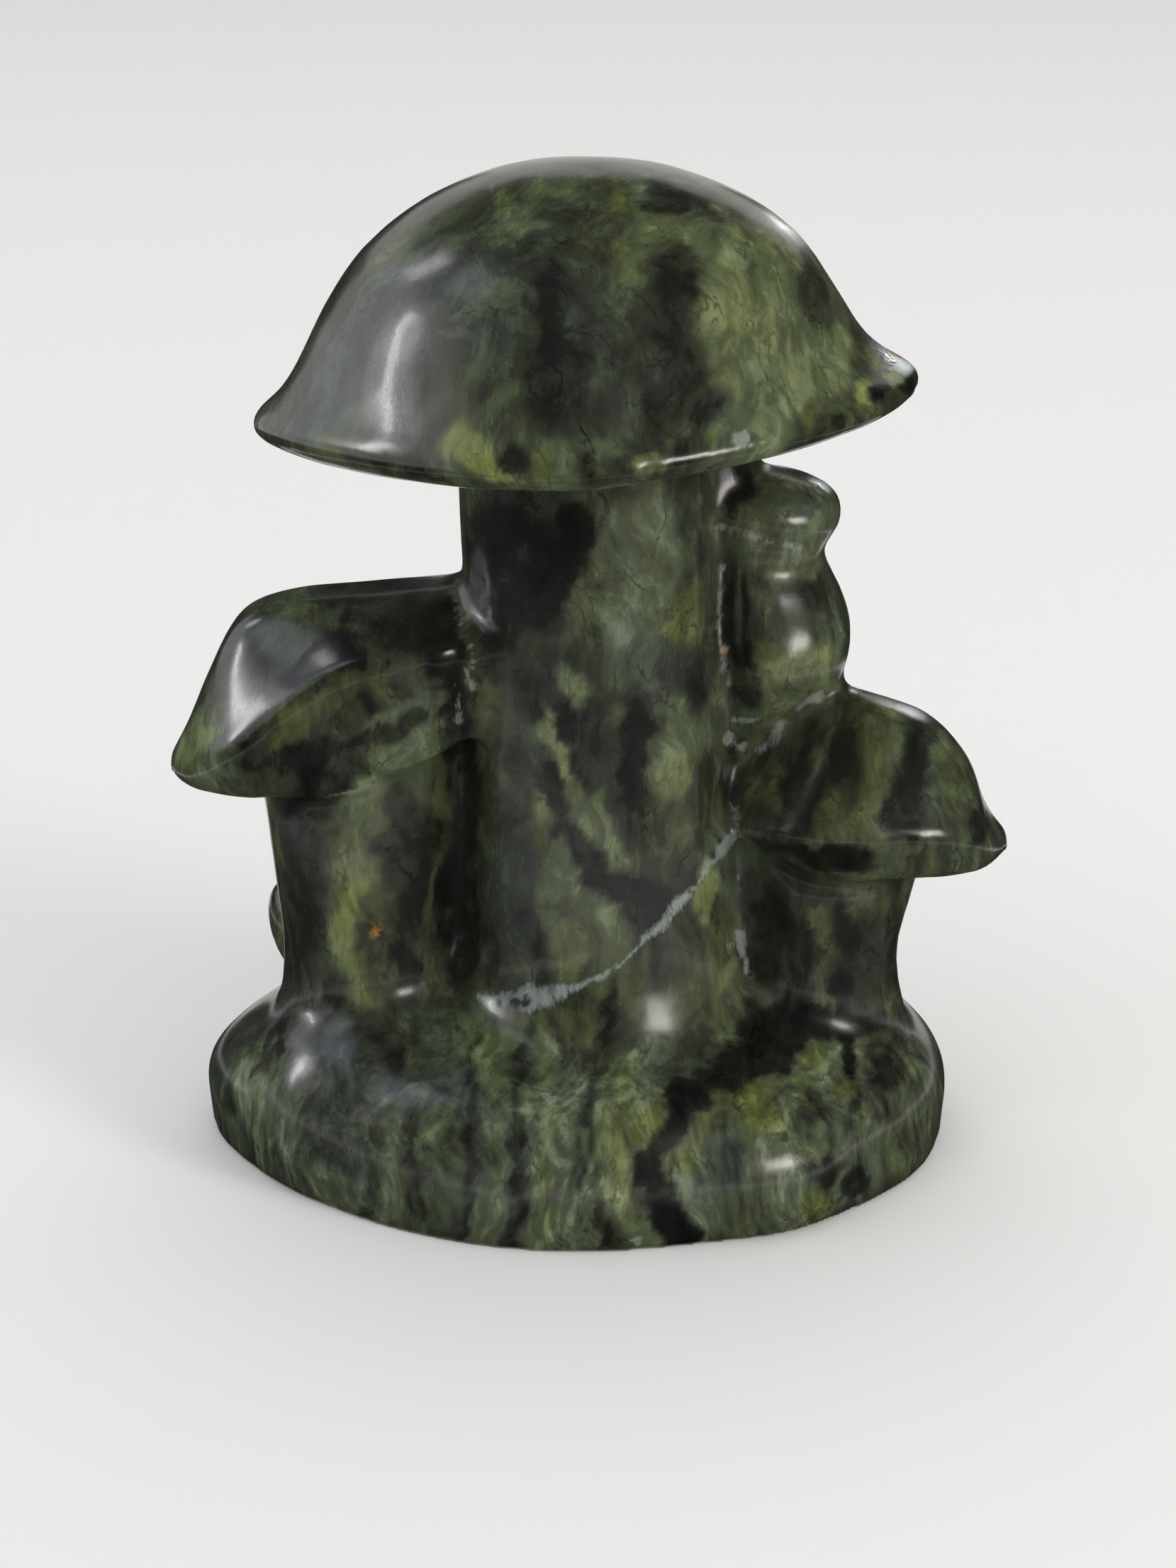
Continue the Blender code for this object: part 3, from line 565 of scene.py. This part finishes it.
    def marked(self, stone: Object) -> None:
        """Writes where the stone's patches, a few of them painted shade and sheen, its vein, its scuffs
        with one painted glint, its hollows and strands are, for its finish.

        Args:
            stone: The stone.
        """
        places = self.vectors(stone, "co")
        faces = [tuple(face.vertices) for face in stone.data.polygons]
        tree = BVHTree.FromPolygons([Vector(place) for place in places], faces)
        bent = self.bent(places)
        tone, yellow, known, scuff_and_glint = np.zeros((4, len(places)))
        shares = [(patch.tone, self.patch_share(bent, tree, patch)) for patch in self.patches]
        shares += [(stroke.tone, self.stroke_share(bent, stroke)) for stroke in self.strokes]
        for kind, share in shares:
            pale, warm = kind.value
            tone += (pale - tone) * share
            yellow += (warm - yellow) * share
            known = np.maximum(known, share)
        slight = places + (bent - places) * self.slight_warp
        for line in self.scuffs_and_glint:
            away = self.distance(slight, line.points) / (line.width * MM)
            share = np.clip(self.scuff_and_glint_rim - away, 0, 1) * line.strength
            scuff_and_glint = np.maximum(scuff_and_glint, share * (places[:, 1] < self.front_end))
        strands = (self.strands_from - places[:, 2]) / (self.strands_from - self.strands_full)
        marks = {
            "tone": tone,
            "yellow": yellow,
            "known": known,
            "vein": self.vein_share(slight),
            "fleck": self.spots(slight, tree, self.vein_flecks),
            "ochre": self.spots(slight, tree, self.ochre_flecks),
            "scuff_and_glint": scuff_and_glint,
            "hollow": self.hollow(stone),
            "strands": np.clip(strands, 0, 1),
        }
        for name, values in marks.items():
            attribute = stone.data.attributes.new(name, "FLOAT", "POINT")
            attribute.data.foreach_set("value", values.astype(np.float32))

    def patch_share(self, places: np.ndarray, tree: BVHTree, patch: Patch) -> np.ndarray:
        """Gives how much of a patch each place gets.

        Args:
            places: Bent places of the stone's points.
            tree: The stone's surface, to find how deep the patch lies.
            patch: The patch.

        Returns:
            A share of 0 to 1 for each place.
        """
        centre = self.on_front(tree, patch.x, patch.z)
        lean = math.radians(patch.lean)
        across = places[:, 0] - centre.x
        up = places[:, 2] - centre.z
        along = (across * math.sin(lean) + up * math.cos(lean)) / (0.5 * patch.height * MM)
        aside = (across * math.cos(lean) - up * math.sin(lean)) / (0.5 * patch.width * MM)
        reach = self.patch_depth * max(patch.width, patch.height, self.patch_least) * MM
        radius = np.sqrt(aside ** 2 + along ** 2 + ((places[:, 1] - centre.y) / reach) ** 2)
        inside = np.clip((self.patch_rim - radius) / self.patch_fade, 0, 1)
        return smooth(inside) * patch.strength

    def stroke_share(self, places: np.ndarray, stroke: Stroke) -> np.ndarray:
        """Gives how much of a streak each place gets.

        Args:
            places: Bent places of the stone's points.
            stroke: The streak.

        Returns:
            A share of 0 to 1 for each place.
        """
        away = self.distance(places, stroke.points) / (0.5 * stroke.width * MM)
        on_front = np.clip((self.stroke_end - places[:, 1]) / self.stroke_fade, 0, 1)
        return smooth(np.clip(self.stroke_rim - away, 0, 1)) * on_front * stroke.strength

    def vein_share(self, places: np.ndarray) -> np.ndarray:
        """Gives how much of the white vein each place gets.

        Args:
            places: Slightly bent places of the stone's points.

        Returns:
            A share of 0 to 1 for each place.
        """
        share = np.zeros(len(places))
        widths = [width for _, _, width in self.vein]
        runs = self.runs(places, [(x, z) for x, z, _ in self.vein])
        for (along, away), start, end in zip(runs, widths, widths[1:]):
            width = (start + (end - start) * along) * MM / 2
            share = np.maximum(share, np.clip(self.spot_rim - away / width, 0, 1))
        return share * (places[:, 1] < 0)

    def spots(self, places: np.ndarray, tree: BVHTree, rows: tuple[Triple, ...]) -> np.ndarray:
        """Gives how much of some small round spots each place gets.

        Args:
            places: Slightly bent places of the stone's points.
            tree: The stone's surface.
            rows: Each spot's x, z and size in millimetres.

        Returns:
            A share of 0 to 1 for each place.
        """
        share = np.zeros(len(places))
        for x, z, size in rows:
            centre = np.array(self.on_front(tree, x, z))
            away = np.linalg.norm(places - centre, axis=1) / (size * MM)
            share = np.maximum(share, np.clip(self.spot_rim - away, 0, 1))
        return share

    def hollow(self, stone: Object) -> np.ndarray:
        """Gives how deep in a hollow each of the stone's points lies.

        Args:
            stone: The stone.

        Returns:
            -1 on a ridge to 1 in a valley, for each point.
        """
        normals = self.vectors(stone, "normal")
        places = self.vectors(stone, "co")
        first, second, number = self.edges(stone)
        count = len(places)
        run = places[second] - places[first]
        length = np.linalg.norm(run, axis=1)
        bend = np.einsum("ij,ij->i", run, normals[first]) / length
        back = np.einsum("ij,ij->i", -run, normals[second]) / length
        value = (np.bincount(first, bend, count) + np.bincount(second, back, count)) / number
        for _ in range(self.hollow_spreads):
            spread = self.hollow_spread * self.gathered(value, first, second) / number
            value = (1 - self.hollow_spread) * value + spread
        return np.clip(value / self.hollow_full, -1, 1)

    def bent(self, places: np.ndarray) -> np.ndarray:
        """Bends places a little, so that nothing in the stone has an even outline.

        Args:
            places: The stone's points.

        Returns:
            The bent points.
        """
        moved = places.copy()
        noise.seed_set(self.warp_seed)
        for size, reach in self.warp:
            step = [noise.noise_vector(Vector(place) / (size * MM)) for place in places]
            moved += np.array(step) * reach * MM
        return moved

    def on_front(self, tree: BVHTree, x: float, z: float) -> Vector:
        """Finds a point of the front surface.

        Args:
            tree: The stone's surface.
            x: The point's x in millimetres.
            z: Its height in millimetres.

        Returns:
            The point, or the nearest one if the stone is not so wide there.
        """
        far, near = (Vector((x * MM, y, z * MM)) for y in self.looked_from)
        hit = tree.ray_cast(far, Vector((0, 1, 0)))[0]
        return hit if hit is not None else tree.find_nearest(near)[0]

    @staticmethod
    def runs(places: np.ndarray, points: list | tuple) -> Iterator[tuple[np.ndarray, np.ndarray]]:
        """Goes along the straight runs of a line, as seen from the front.

        Args:
            places: The stone's points.
            points: The line's points, x and z in millimetres.

        Yields:
            How far along the run each place is, 0 to 1, and how many metres from it.
        """
        for a, b in zip(points, points[1:]):
            start = np.array(a) * MM
            run = np.array(b) * MM - start
            seen = places[:, (0, 2)] - start
            along = np.clip(seen @ run / (run @ run), 0, 1)
            yield along, np.linalg.norm(seen - along[:, None] * run, axis=1)

    def distance(self, places: np.ndarray, points: tuple[Pair, ...]) -> np.ndarray:
        """Gives how many metres each place is from a line, as seen from the front."""
        return np.min([away for _, away in self.runs(places, points)], axis=0)

    @staticmethod
    def edges(stone: Object) -> tuple[np.ndarray, np.ndarray, np.ndarray]:
        """Reads the stone's edges.

        Args:
            stone: The stone.

        Returns:
            The first and second end of each edge, and how many edges each point has.
        """
        ends = np.zeros(len(stone.data.edges) * 2, np.int32)
        stone.data.edges.foreach_get("vertices", ends)
        first, second = ends.reshape(-1, 2).T
        return first, second, np.bincount(ends, minlength=len(stone.data.vertices))

    @staticmethod
    def gathered(values: np.ndarray, first: np.ndarray, second: np.ndarray) -> np.ndarray:
        """Adds up the values of each point's neighbours."""
        count = len(values)
        return np.bincount(first, values[second], count) + np.bincount(second, values[first], count)

    @staticmethod
    def vectors(stone: Object, name: str) -> np.ndarray:
        """Gives a row for each of the stone's points.

        Args:
            stone: The stone.
            name: What the rows hold, "co" for places or "normal".

        Returns:
            The rows.
        """
        flat = np.zeros(len(stone.data.vertices) * 3, np.float32)
        stone.data.vertices.foreach_get(name, flat)
        return flat.reshape(-1, 3).astype(float)

    @staticmethod
    def place(stone: Object, places: np.ndarray) -> None:
        """Moves the stone's points to new places."""
        stone.data.vertices.foreach_set("co", places.astype(np.float32).ravel())
        stone.data.update()


@dataclass(frozen=True)
class Pattern:
    """A cloudy pattern in the stone, whose features are so many millimetres across.

    Detail is how many finer layers it has and coarse is how much they count. Stretch draws it out
    along the axes whose scale is below 1, and twist curls it. One that flows is in the stone, and
    bends with it. One that does not is on the surface.
    """

    size: float
    detail: float
    coarse: float
    stretch: Triple = (1.0, 1.0, 0.45)
    twist: float = 0.0
    flows: bool = True


@dataclass(frozen=True)
class PolishedNephrite:
    """Nephrite jade, ground wet and polished with wax.

    It gives the eye a deep green ground clouded black and yellow-green, with fibres that run
    upright, light that sinks in a little at thin edges, and a soft wet gloss.
    """

    name: str = "polished_nephrite"
    stops: tuple[float, ...] = (0.0, 0.26, 0.46, 0.64, 0.82, 1.0)
    warm: tuple[str, ...] = ("#0b0c08", "#1c1f12", "#343a1e", "#50592b", "#757f41", "#a0a766")
    cool: tuple[str, ...] = ("#0c0d0c", "#1f221f", "#373c35", "#535b4d", "#7d8676", "#adb3a4")
    calcite: str = "#838a86"
    calcite_fleck: str = "#2a2d2a"
    # The pale colour of the scuffs, also used for one painted glint on the big cap's lip.
    scuff_and_glint_colour: str = "#8f958f"
    ochre: str = "#a87636"
    # How pale unmarked stone is, how much a patch's tone counts, and how much clouds do without one.
    middle: float = 0.47
    patch: float = 0.46
    cloud_free: float = 1.2
    cloud_known: float = 0.25
    # How yellow unmarked stone is, and how much a patch's yellow and the hue pattern count.
    yellow_middle: float = 0.44
    yellow_patch: float = 0.5
    hue_weight: float = 1.2
    # The fibres of real nephrite and the marks of its polishing are hundredths of a millimetre wide.
    # Here they are as coarse as the render needs to show them.
    cloud: Pattern = Pattern(8.0, 4.0, 0.55)
    hue: Pattern = Pattern(6.4, 3.0, 0.50)
    wisp: Pattern = Pattern(2.4, 5.0, 0.60, twist=0.5)
    fibre: Pattern = Pattern(0.85, 3.0, 0.55, (1.0, 1.0, 0.22))
    strand: Pattern = Pattern(1.15, 2.0, 0.50, (1.0, 1.0, 0.14))
    grain: Pattern = Pattern(0.40, 3.0, 0.60)
    hairline: Pattern = Pattern(3.6, 4.0, 0.55)
    ripple: Pattern = Pattern(0.75, 2.0, 0.50, (0.25, 0.25, 1.0), flows=False)
    brush: Pattern = Pattern(0.34, 2.0, 0.50, (1.0, 1.0, 0.10), flows=False)
    wisp_weight: float = 0.62
    fibre_weight: float = 0.20
    strand_weight: float = 0.50
    grain_weight: float = 0.11
    hairline_weight: float = -0.20
    hairline_width: float = 0.022
    hairline_gaps: tuple[float, float] = (5.0, -2.2)
    swirl: float = 14.0
    swirl_detail: float = 2.0
    swirl_reach: float = 5.0
    edge_wisp: float = 2.2
    edge_grain: float = 1.6
    edge_reach: float = 4.0
    edge_place: float = 0.55
    vein_sharp: float = 1.35
    fleck_sharp: float = 1.6
    ochre_sharp: float = 1.2
    scuff_and_glint_sharp: float = 1.6
    scuff_and_glint_weight: float = 0.65
    scuff_and_glint_rough: float = 0.30
    hollow_rough: float = 0.12
    grain_rough: float = 0.08
    grain_bump: float = 0.3
    brush_bump: float = 0.4
    bump_height: float = 0.010 * MM
    ior: float = 1.61
    roughness: float = 0.27
    coat: float = 0.30
    coat_roughness: float = 0.10
    sink: float = 0.18
    sink_depth: Triple = (1.0, 1.6, 0.7)

    def material(self) -> bpy.types.Material:
        """Makes the material.

        Returns:
            The new material.
        """
        material = bpy.data.materials.new(self.name)
        material.use_nodes = True
        tree = material.node_tree
        names = ("tone", "yellow", "known", "vein", "fleck", "ochre", "scuff_and_glint", "hollow", "strands")
        marks = {name: add_node(tree, "Attribute", {}, "Fac", attribute_name=name) for name in names}
        drawn = self.drawn(tree)
        edge = self.weighed(tree, drawn["grain"], self.edge_grain, 0.0)
        edge = self.weighed(tree, drawn["wisp"], self.edge_wisp, edge)
        scuff_and_glint = self.edged(tree, marks["scuff_and_glint"], edge, self.scuff_and_glint_sharp)
        colour = self.ground(tree, marks, drawn)
        for name, hex_colour, sharp in (
            ("vein", self.calcite, self.vein_sharp),
            ("fleck", self.calcite_fleck, self.fleck_sharp),
            ("ochre", self.ochre, self.ochre_sharp),
        ):
            share = self.edged(tree, marks[name], edge, sharp)
            mix = {"Factor": share, 6: colour, 7: linear(hex_colour)}
            colour = add_node(tree, "Mix", mix, 2, data_type="RGBA")
        share = add_node(tree, "Math", (scuff_and_glint, self.scuff_and_glint_weight), operation="MULTIPLY")
        mix = {"Factor": share, 6: colour, 7: linear(self.scuff_and_glint_colour)}
        terms = (marks["hollow"], self.hollow_rough, self.roughness)
        rough = add_node(tree, "Math", terms, operation="MULTIPLY_ADD")
        terms = (scuff_and_glint, self.scuff_and_glint_rough, self.weighed(tree, drawn["grain"], self.grain_rough, rough))
        height = self.weighed(tree, drawn["brush"], self.brush_bump, drawn["ripple"])
        height = self.weighed(tree, drawn["grain"], self.grain_bump, height)
        bump = {"Height": height, "Strength": 1.0, "Distance": self.bump_height}
        normal = add_node(tree, "Bump", bump)
        inputs = {
            "Base Color": add_node(tree, "Mix", mix, 2, data_type="RGBA"),
            "Roughness": add_node(tree, "Math", terms, operation="MULTIPLY_ADD", use_clamp=True),
            "Normal": normal,
            "Coat Normal": normal,
            "IOR": self.ior,
            "Coat Weight": self.coat,
            "Coat Roughness": self.coat_roughness,
            "Subsurface Weight": self.sink,
            "Subsurface Radius": self.sink_depth,
            "Subsurface Scale": MM,
        }
        feed(tree, tree.nodes["Principled BSDF"], inputs)
        return material

    def drawn(self, tree: Tree) -> dict[str, Socket]:
        """Draws the patterns. What flows is drawn on a place that bends slowly to and fro.

        Args:
            tree: The node tree.

        Returns:
            Each pattern by name, 0 to 1.
        """
        place = add_node(tree, "TexCoord", {}, "Object")
        swirl = {"Vector": place, "Scale": per_metre(self.swirl), "Detail": self.swirl_detail}
        swing = (add_node(tree, "TexNoise", swirl, "Color"), (0.5, 0.5, 0.5))
        swing = add_node(tree, "VectorMath", swing, operation="SUBTRACT")
        bent = (swing, (self.swirl_reach * MM * 2,) * 3, place)
        bent = add_node(tree, "VectorMath", bent, operation="MULTIPLY_ADD")
        drawn = {}
        patterns = {name: value for name, value in vars(self).items() if isinstance(value, Pattern)}
        for name, pattern in patterns.items():
            start = {"Vector": bent if pattern.flows else place, "Scale": pattern.stretch}
            inputs = {
                "Vector": add_node(tree, "Mapping", start),
                "Scale": per_metre(pattern.size),
                "Detail": pattern.detail,
                "Roughness": pattern.coarse,
                "Distortion": pattern.twist,
            }
            drawn[name] = add_node(tree, "TexNoise", inputs)
        return drawn

    def ground(self, tree: Tree, marks: dict[str, Socket], drawn: dict[str, Socket]) -> Socket:
        """Colours the green stone with its painted shade and sheen, without its vein, flecks, scuffs and
        painted glint.

        Args:
            tree: The node tree.
            marks: The numbers that the stone keeps for each of its points.
            drawn: The patterns.

        Returns:
            The colour.
        """
        terms = (marks["known"], self.cloud_known - self.cloud_free, self.cloud_free)
        free = add_node(tree, "Math", terms, operation="MULTIPLY_ADD")
        strands = add_node(tree, "Math", (marks["strands"], self.strand_weight), operation="MULTIPLY")
        terms = (marks["tone"], self.patch, self.middle)
        pale = add_node(tree, "Math", terms, operation="MULTIPLY_ADD")
        for name, weight in (
            ("cloud", free),
            ("wisp", self.wisp_weight),
            ("fibre", self.fibre_weight),
            ("grain", self.grain_weight),
            ("strand", strands),
        ):
            pale = self.weighed(tree, drawn[name], weight, pale)
        lines = self.hairlines(tree, drawn["hairline"], drawn["wisp"])
        pale = add_node(tree, "Math", (pale, lines), operation="ADD")
        terms = (marks["yellow"], self.yellow_patch, self.yellow_middle)
        yellow = add_node(tree, "Math", terms, operation="MULTIPLY_ADD")
        mix = {"Factor": self.weighed(tree, drawn["hue"], self.hue_weight, yellow, use_clamp=True)}
        for slot, colours in ((6, self.cool), (7, self.warm)):
            mix[slot] = add_node(tree, "ValToRGB", (pale,))
            elements = mix[slot].node.color_ramp.elements
            for index, (place, hex_colour) in enumerate(zip(self.stops, colours)):
                element = elements[index] if index < 2 else elements.new(place)
                element.position = place
                element.color = linear(hex_colour)
        return add_node(tree, "Mix", mix, 2, data_type="RGBA")

    def hairlines(self, tree: Tree, ground: Socket, gaps: Socket) -> Socket:
        """Draws the dark hairlines that wander through the paler stone.

        Args:
            tree: The node tree.
            ground: The pattern whose middle height the lines follow.
            gaps: A pattern that breaks the lines.

        Returns:
            How much darker the stone is there, 0 or below.
        """
        slope, start = self.hairline_gaps
        away = add_node(tree, "Math", (ground, 0.5), operation="SUBTRACT")
        away = add_node(tree, "Math", (away,), operation="ABSOLUTE")
        near = (away, -1 / self.hairline_width, 1.0)
        near = add_node(tree, "Math", near, operation="MULTIPLY_ADD", use_clamp=True)
        there = add_node(tree, "Math", (gaps, slope, start), operation="MULTIPLY_ADD", use_clamp=True)
        line = add_node(tree, "Math", (near, there), operation="MULTIPLY")
        return add_node(tree, "Math", (line, self.hairline_weight), operation="MULTIPLY")

    def edged(self, tree: Tree, share: Socket, edge: Socket, sharp: float) -> Socket:
        """Gives a soft share a sharp, broken edge.

        Args:
            tree: The node tree.
            share: The soft share, 0 to 1.
            edge: The pattern that breaks the edge.
            sharp: How steep the edge is.

        Returns:
            The new share, 0 to 1.
        """
        near = add_node(tree, "Math", (share, self.edge_reach), operation="MULTIPLY", use_clamp=True)
        broken = add_node(tree, "Math", (edge, near, share), operation="MULTIPLY_ADD")
        terms = (broken, sharp, 0.5 - self.edge_place * sharp)
        return add_node(tree, "Math", terms, operation="MULTIPLY_ADD", use_clamp=True)

    @staticmethod
    def weighed(
        tree: Tree, pattern: Socket, weight: float | Socket, onto: float | Socket, **settings: bool
    ) -> Socket:
        """Adds a pattern's swing about its middle, times its weight, to another value."""
        swing = add_node(tree, "Math", (pattern, 0.5), operation="SUBTRACT")
        return add_node(tree, "Math", (swing, weight, onto), operation="MULTIPLY_ADD", **settings)


@dataclass(frozen=True)
class MattFinish:
    """A plain surface with next to no gloss."""

    name: str
    colour: str
    roughness: float
    gloss: float

    def material(self) -> bpy.types.Material:
        """Makes the material.

        Returns:
            The new material.
        """
        material = bpy.data.materials.new(self.name)
        material.use_nodes = True
        inputs = {
            "Base Color": linear(self.colour),
            "Roughness": self.roughness,
            "Specular IOR Level": self.gloss,
        }
        feed(material.node_tree, material.node_tree.nodes["Principled BSDF"], inputs)
        return material


# Matt white paper gives the eye a plain pale ground without gloss.
PAPER = MattFinish("matt_white_paper", "#ecebe9", 0.9, 0.1)
# Dark felt on a card gives the gloss of the stone something unlit to mirror.
FELT = MattFinish("dark_felt", "#262627", 1.0, 0.0)


class Use(Enum):
    """What a light panel is for."""

    FILL = "lights the floor and the stone and isn't mirrored in the gloss"
    HAZE = "is mirrored as a broad haze"
    GLINT = "is mirrored as a small bright spot, past the dark card too, and lights nothing else"


@dataclass(frozen=True)
class Panel:
    """A soft light panel, aimed at the carving. Angles are in degrees and sizes in metres."""

    name: str
    use: Use
    turn: float
    rise: float
    distance: float
    width: float
    height: float
    watts: float
    colour: str


@dataclass
class Studio:
    """The plain pale floor with its wall, the soft lights and the camera."""

    aim: Triple = (0.0, 0.0, 0.045)
    panels: tuple[Panel, ...] = (
        Panel("window_left", Use.HAZE, -100.0, 24.0, 0.75, 0.56, 0.50, 0.33, "#dbe4ff"),
        Panel("window_side", Use.HAZE, -70.0, 50.0, 0.75, 0.34, 0.26, 0.33, "#e6edff"),
        Panel("window_core", Use.GLINT, -87.0, 19.0, 0.72, 0.065, 0.21, 0.62, "#ffffff"),
        Panel("window_top", Use.GLINT, -108.0, 42.0, 0.72, 0.10, 0.20, 0.30, "#ffffff"),
        Panel("window_behind", Use.GLINT, 158.0, 12.0, 0.90, 0.08, 0.14, 0.25, "#ffffff"),
        Panel("lamp_spot", Use.GLINT, 40.0, 12.0, 0.254, 0.090, 0.060, 0.15, "#fffaf0"),
        Panel("lamp_right", Use.FILL, 58.0, 22.0, 0.90, 0.24, 0.24, 3.0, "#fffaf0"),
        Panel("backdrop", Use.FILL, 180.0, 62.0, 1.10, 1.20, 0.60, 1.6, "#ffffff"),
        Panel("ceiling", Use.FILL, 0.0, 84.0, 1.25, 2.40, 2.40, 7.5, "#ffffff"),
    )
    floor_radius: float = 1.3
    floor_steps: int = 64
    wall_height: float = 0.9
    wall_fillet: float = 0.35
    fillet_steps: int = 12
    sky: float = 0.58
    sky_colour: str = "#eef0f4"
    room_radius: float = 0.12
    room_cuts: tuple[int, int] = (90, 45)
    room_turns: Pair = (-56.0, 128.0)
    room_rises: Pair = (-20.0, 80.0)
    sill_turns: Pair = (-126.0, -50.0)
    sill_rise: float = 3.0
    wing_turns: tuple[Pair, Pair] = ((-166.0, -126.0), (128.0, 166.0))
    wing_rise: float = 34.0
    apron_radii: Pair = (0.018, 0.116)
    apron_turns: tuple[int, int] = (-132, 132)
    apron_step: int = 4
    apron_height: float = 0.3 * MM
    camera_place: Triple = (0.0, -0.270, 0.150)
    camera_down: float = 22.5
    camera_range: Pair = (0.01, 10.0)
    lens: float = 67.83
    sensor: float = 36.0

    def build(self) -> None:
        """Builds the floor, the lights, the sky and the camera."""
        self.floor()
        self.dark_room()
        for panel in self.panels:
            self.light(panel)
        self.surroundings()
        self.camera()

    def floor(self) -> None:
        """Makes a round floor whose edge turns up into a wall."""
        flat = self.floor_radius - self.wall_fillet
        profile = [(0.0, 0.0), (flat, 0.0)]
        for step in range(1, self.fillet_steps + 1):
            angle = math.pi / 2 * step / self.fillet_steps
            out = flat + self.wall_fillet * math.sin(angle)
            profile.append((out, self.wall_fillet * (1 - math.cos(angle))))
        profile.append((self.floor_radius, self.wall_height))
        shape = bmesh.new()
        points = [shape.verts.new((out, 0.0, up)) for out, up in profile]
        edges = [shape.edges.new(pair) for pair in zip(points, points[1:])]
        turn = {"cent": (0, 0, 0), "axis": (0, 0, 1), "angle": 2 * math.pi, "steps": self.floor_steps}
        bmesh.ops.spin(shape, geom=[*points, *edges], use_merge=True, **turn)
        bmesh.ops.remove_doubles(shape, verts=shape.verts, dist=0.01 * MM)
        bmesh.ops.recalc_face_normals(shape, faces=shape.faces)
        mesh = bpy.data.meshes.new("paper_floor")
        shape.to_mesh(mesh)
        shape.free()
        floor = bpy.data.objects.new("paper_floor", mesh)
        bpy.context.scene.collection.objects.link(floor)
        floor.data.shade_smooth()
        floor.data.materials.append(PAPER.material())

    def dark_room(self) -> None:
        """Stands in for the unlit room before the carving, which only its gloss sees.

        It is a curved dark card, with an apron of the same felt just above the floor.
        """
        across, up = self.room_cuts
        bpy.ops.object.select_all(action="DESELECT")
        bpy.ops.mesh.primitive_uv_sphere_add(segments=across, ring_count=up, radius=self.room_radius)
        card = bpy.context.active_object
        card.name = "dark_room"
        shape = bmesh.new()
        shape.from_mesh(card.data)
        start, end = self.apron_turns
        angles = [math.radians(turn) for turn in range(start, end + 1, self.apron_step)]
        low = self.apron_height - self.aim[2]
        near, far = (
            [shape.verts.new((radius * math.sin(a), -radius * math.cos(a), low)) for a in angles]
            for radius in self.apron_radii
        )
        outside = [face for face in shape.faces if not self.unlit(face.calc_center_median())]
        bmesh.ops.delete(shape, geom=outside, context="FACES")
        for index in range(len(near) - 1):
            shape.faces.new((near[index], near[index + 1], far[index + 1], far[index]))
        shape.to_mesh(card.data)
        shape.free()
        card.data.transform(Matrix.Translation(self.aim))
        card.data.materials.append(FELT.material())
        card.visible_camera = False
        card.visible_diffuse = False
        card.visible_transmission = False
        card.visible_shadow = False

    def unlit(self, middle: Vector) -> bool:
        """Says whether the room before the carving is dark in one direction.

        Args:
            middle: A place in that direction, as seen from the carving.

        Returns:
            Whether it is dark there.
        """
        turn = math.degrees(math.atan2(middle.x, -middle.y))
        rise = math.degrees(math.asin(middle.z / middle.length))
        before = self.room_turns[0] < turn < self.room_turns[1] and rise < self.room_rises[1]
        below = self.sill_turns[0] < turn < self.sill_turns[1] and rise < self.sill_rise
        beside = rise < self.wing_rise and any(low < turn < high for low, high in self.wing_turns)
        return rise >= self.room_rises[0] and (before or below or beside)

    def light(self, panel: Panel) -> None:
        """Hangs one light panel.

        Args:
            panel: The panel.
        """
        turn = math.radians(panel.turn)
        rise = math.radians(panel.rise)
        away = Vector((math.sin(turn) * math.cos(rise), -math.cos(turn) * math.cos(rise), math.sin(rise)))
        place = Vector(self.aim) + away * panel.distance
        bpy.ops.object.select_all(action="DESELECT")
        bpy.ops.object.light_add(type="AREA", location=place)
        light = bpy.context.active_object
        light.name = panel.name
        light.rotation_euler = (-away).to_track_quat("-Z", "Y").to_euler()
        light.data.shape = "RECTANGLE"
        light.data.size = panel.width
        light.data.size_y = panel.height
        light.data.energy = panel.watts
        light.data.color = linear(panel.colour)[:3]
        light.data.cycles.use_multiple_importance_sampling = panel.use is not Use.GLINT
        light.visible_glossy = panel.use is not Use.FILL
        light.visible_diffuse = panel.use is not Use.GLINT

    def surroundings(self) -> None:
        """Sets the even light that comes from above the wall."""
        world = bpy.data.worlds.new("soft_sky")
        world.use_nodes = True
        inputs = {"Color": linear(self.sky_colour), "Strength": self.sky}
        feed(world.node_tree, world.node_tree.nodes["Background"], inputs)
        world.cycles_visibility.glossy = False
        bpy.context.scene.world = world

    def camera(self) -> None:
        """Sets up the camera at the photograph's place."""
        tilt = math.radians(90 - self.camera_down)
        bpy.ops.object.select_all(action="DESELECT")
        bpy.ops.object.camera_add(location=self.camera_place, rotation=(tilt, 0.0, 0.0))
        camera = bpy.context.active_object
        camera.name = "camera"
        camera.data.lens = self.lens
        camera.data.sensor_width = self.sensor
        camera.data.clip_start, camera.data.clip_end = self.camera_range
        bpy.context.scene.camera = camera


def main() -> None:
    """Builds the stone and its studio."""
    logging.basicConfig(level=logging.INFO, format="%(name)s: %(message)s")
    stone = Carving().build()
    stone.data.materials.clear()
    stone.data.materials.append(PolishedNephrite().material())
    LOG.info("%s: %d faces", stone.name, len(stone.data.polygons))
    Studio().build()
    scene = bpy.context.scene
    scene.view_settings.view_transform = "Standard"
    scene.view_settings.look = "None"
    LOG.info("sizes written")


if __name__ == "__main__":
    main()
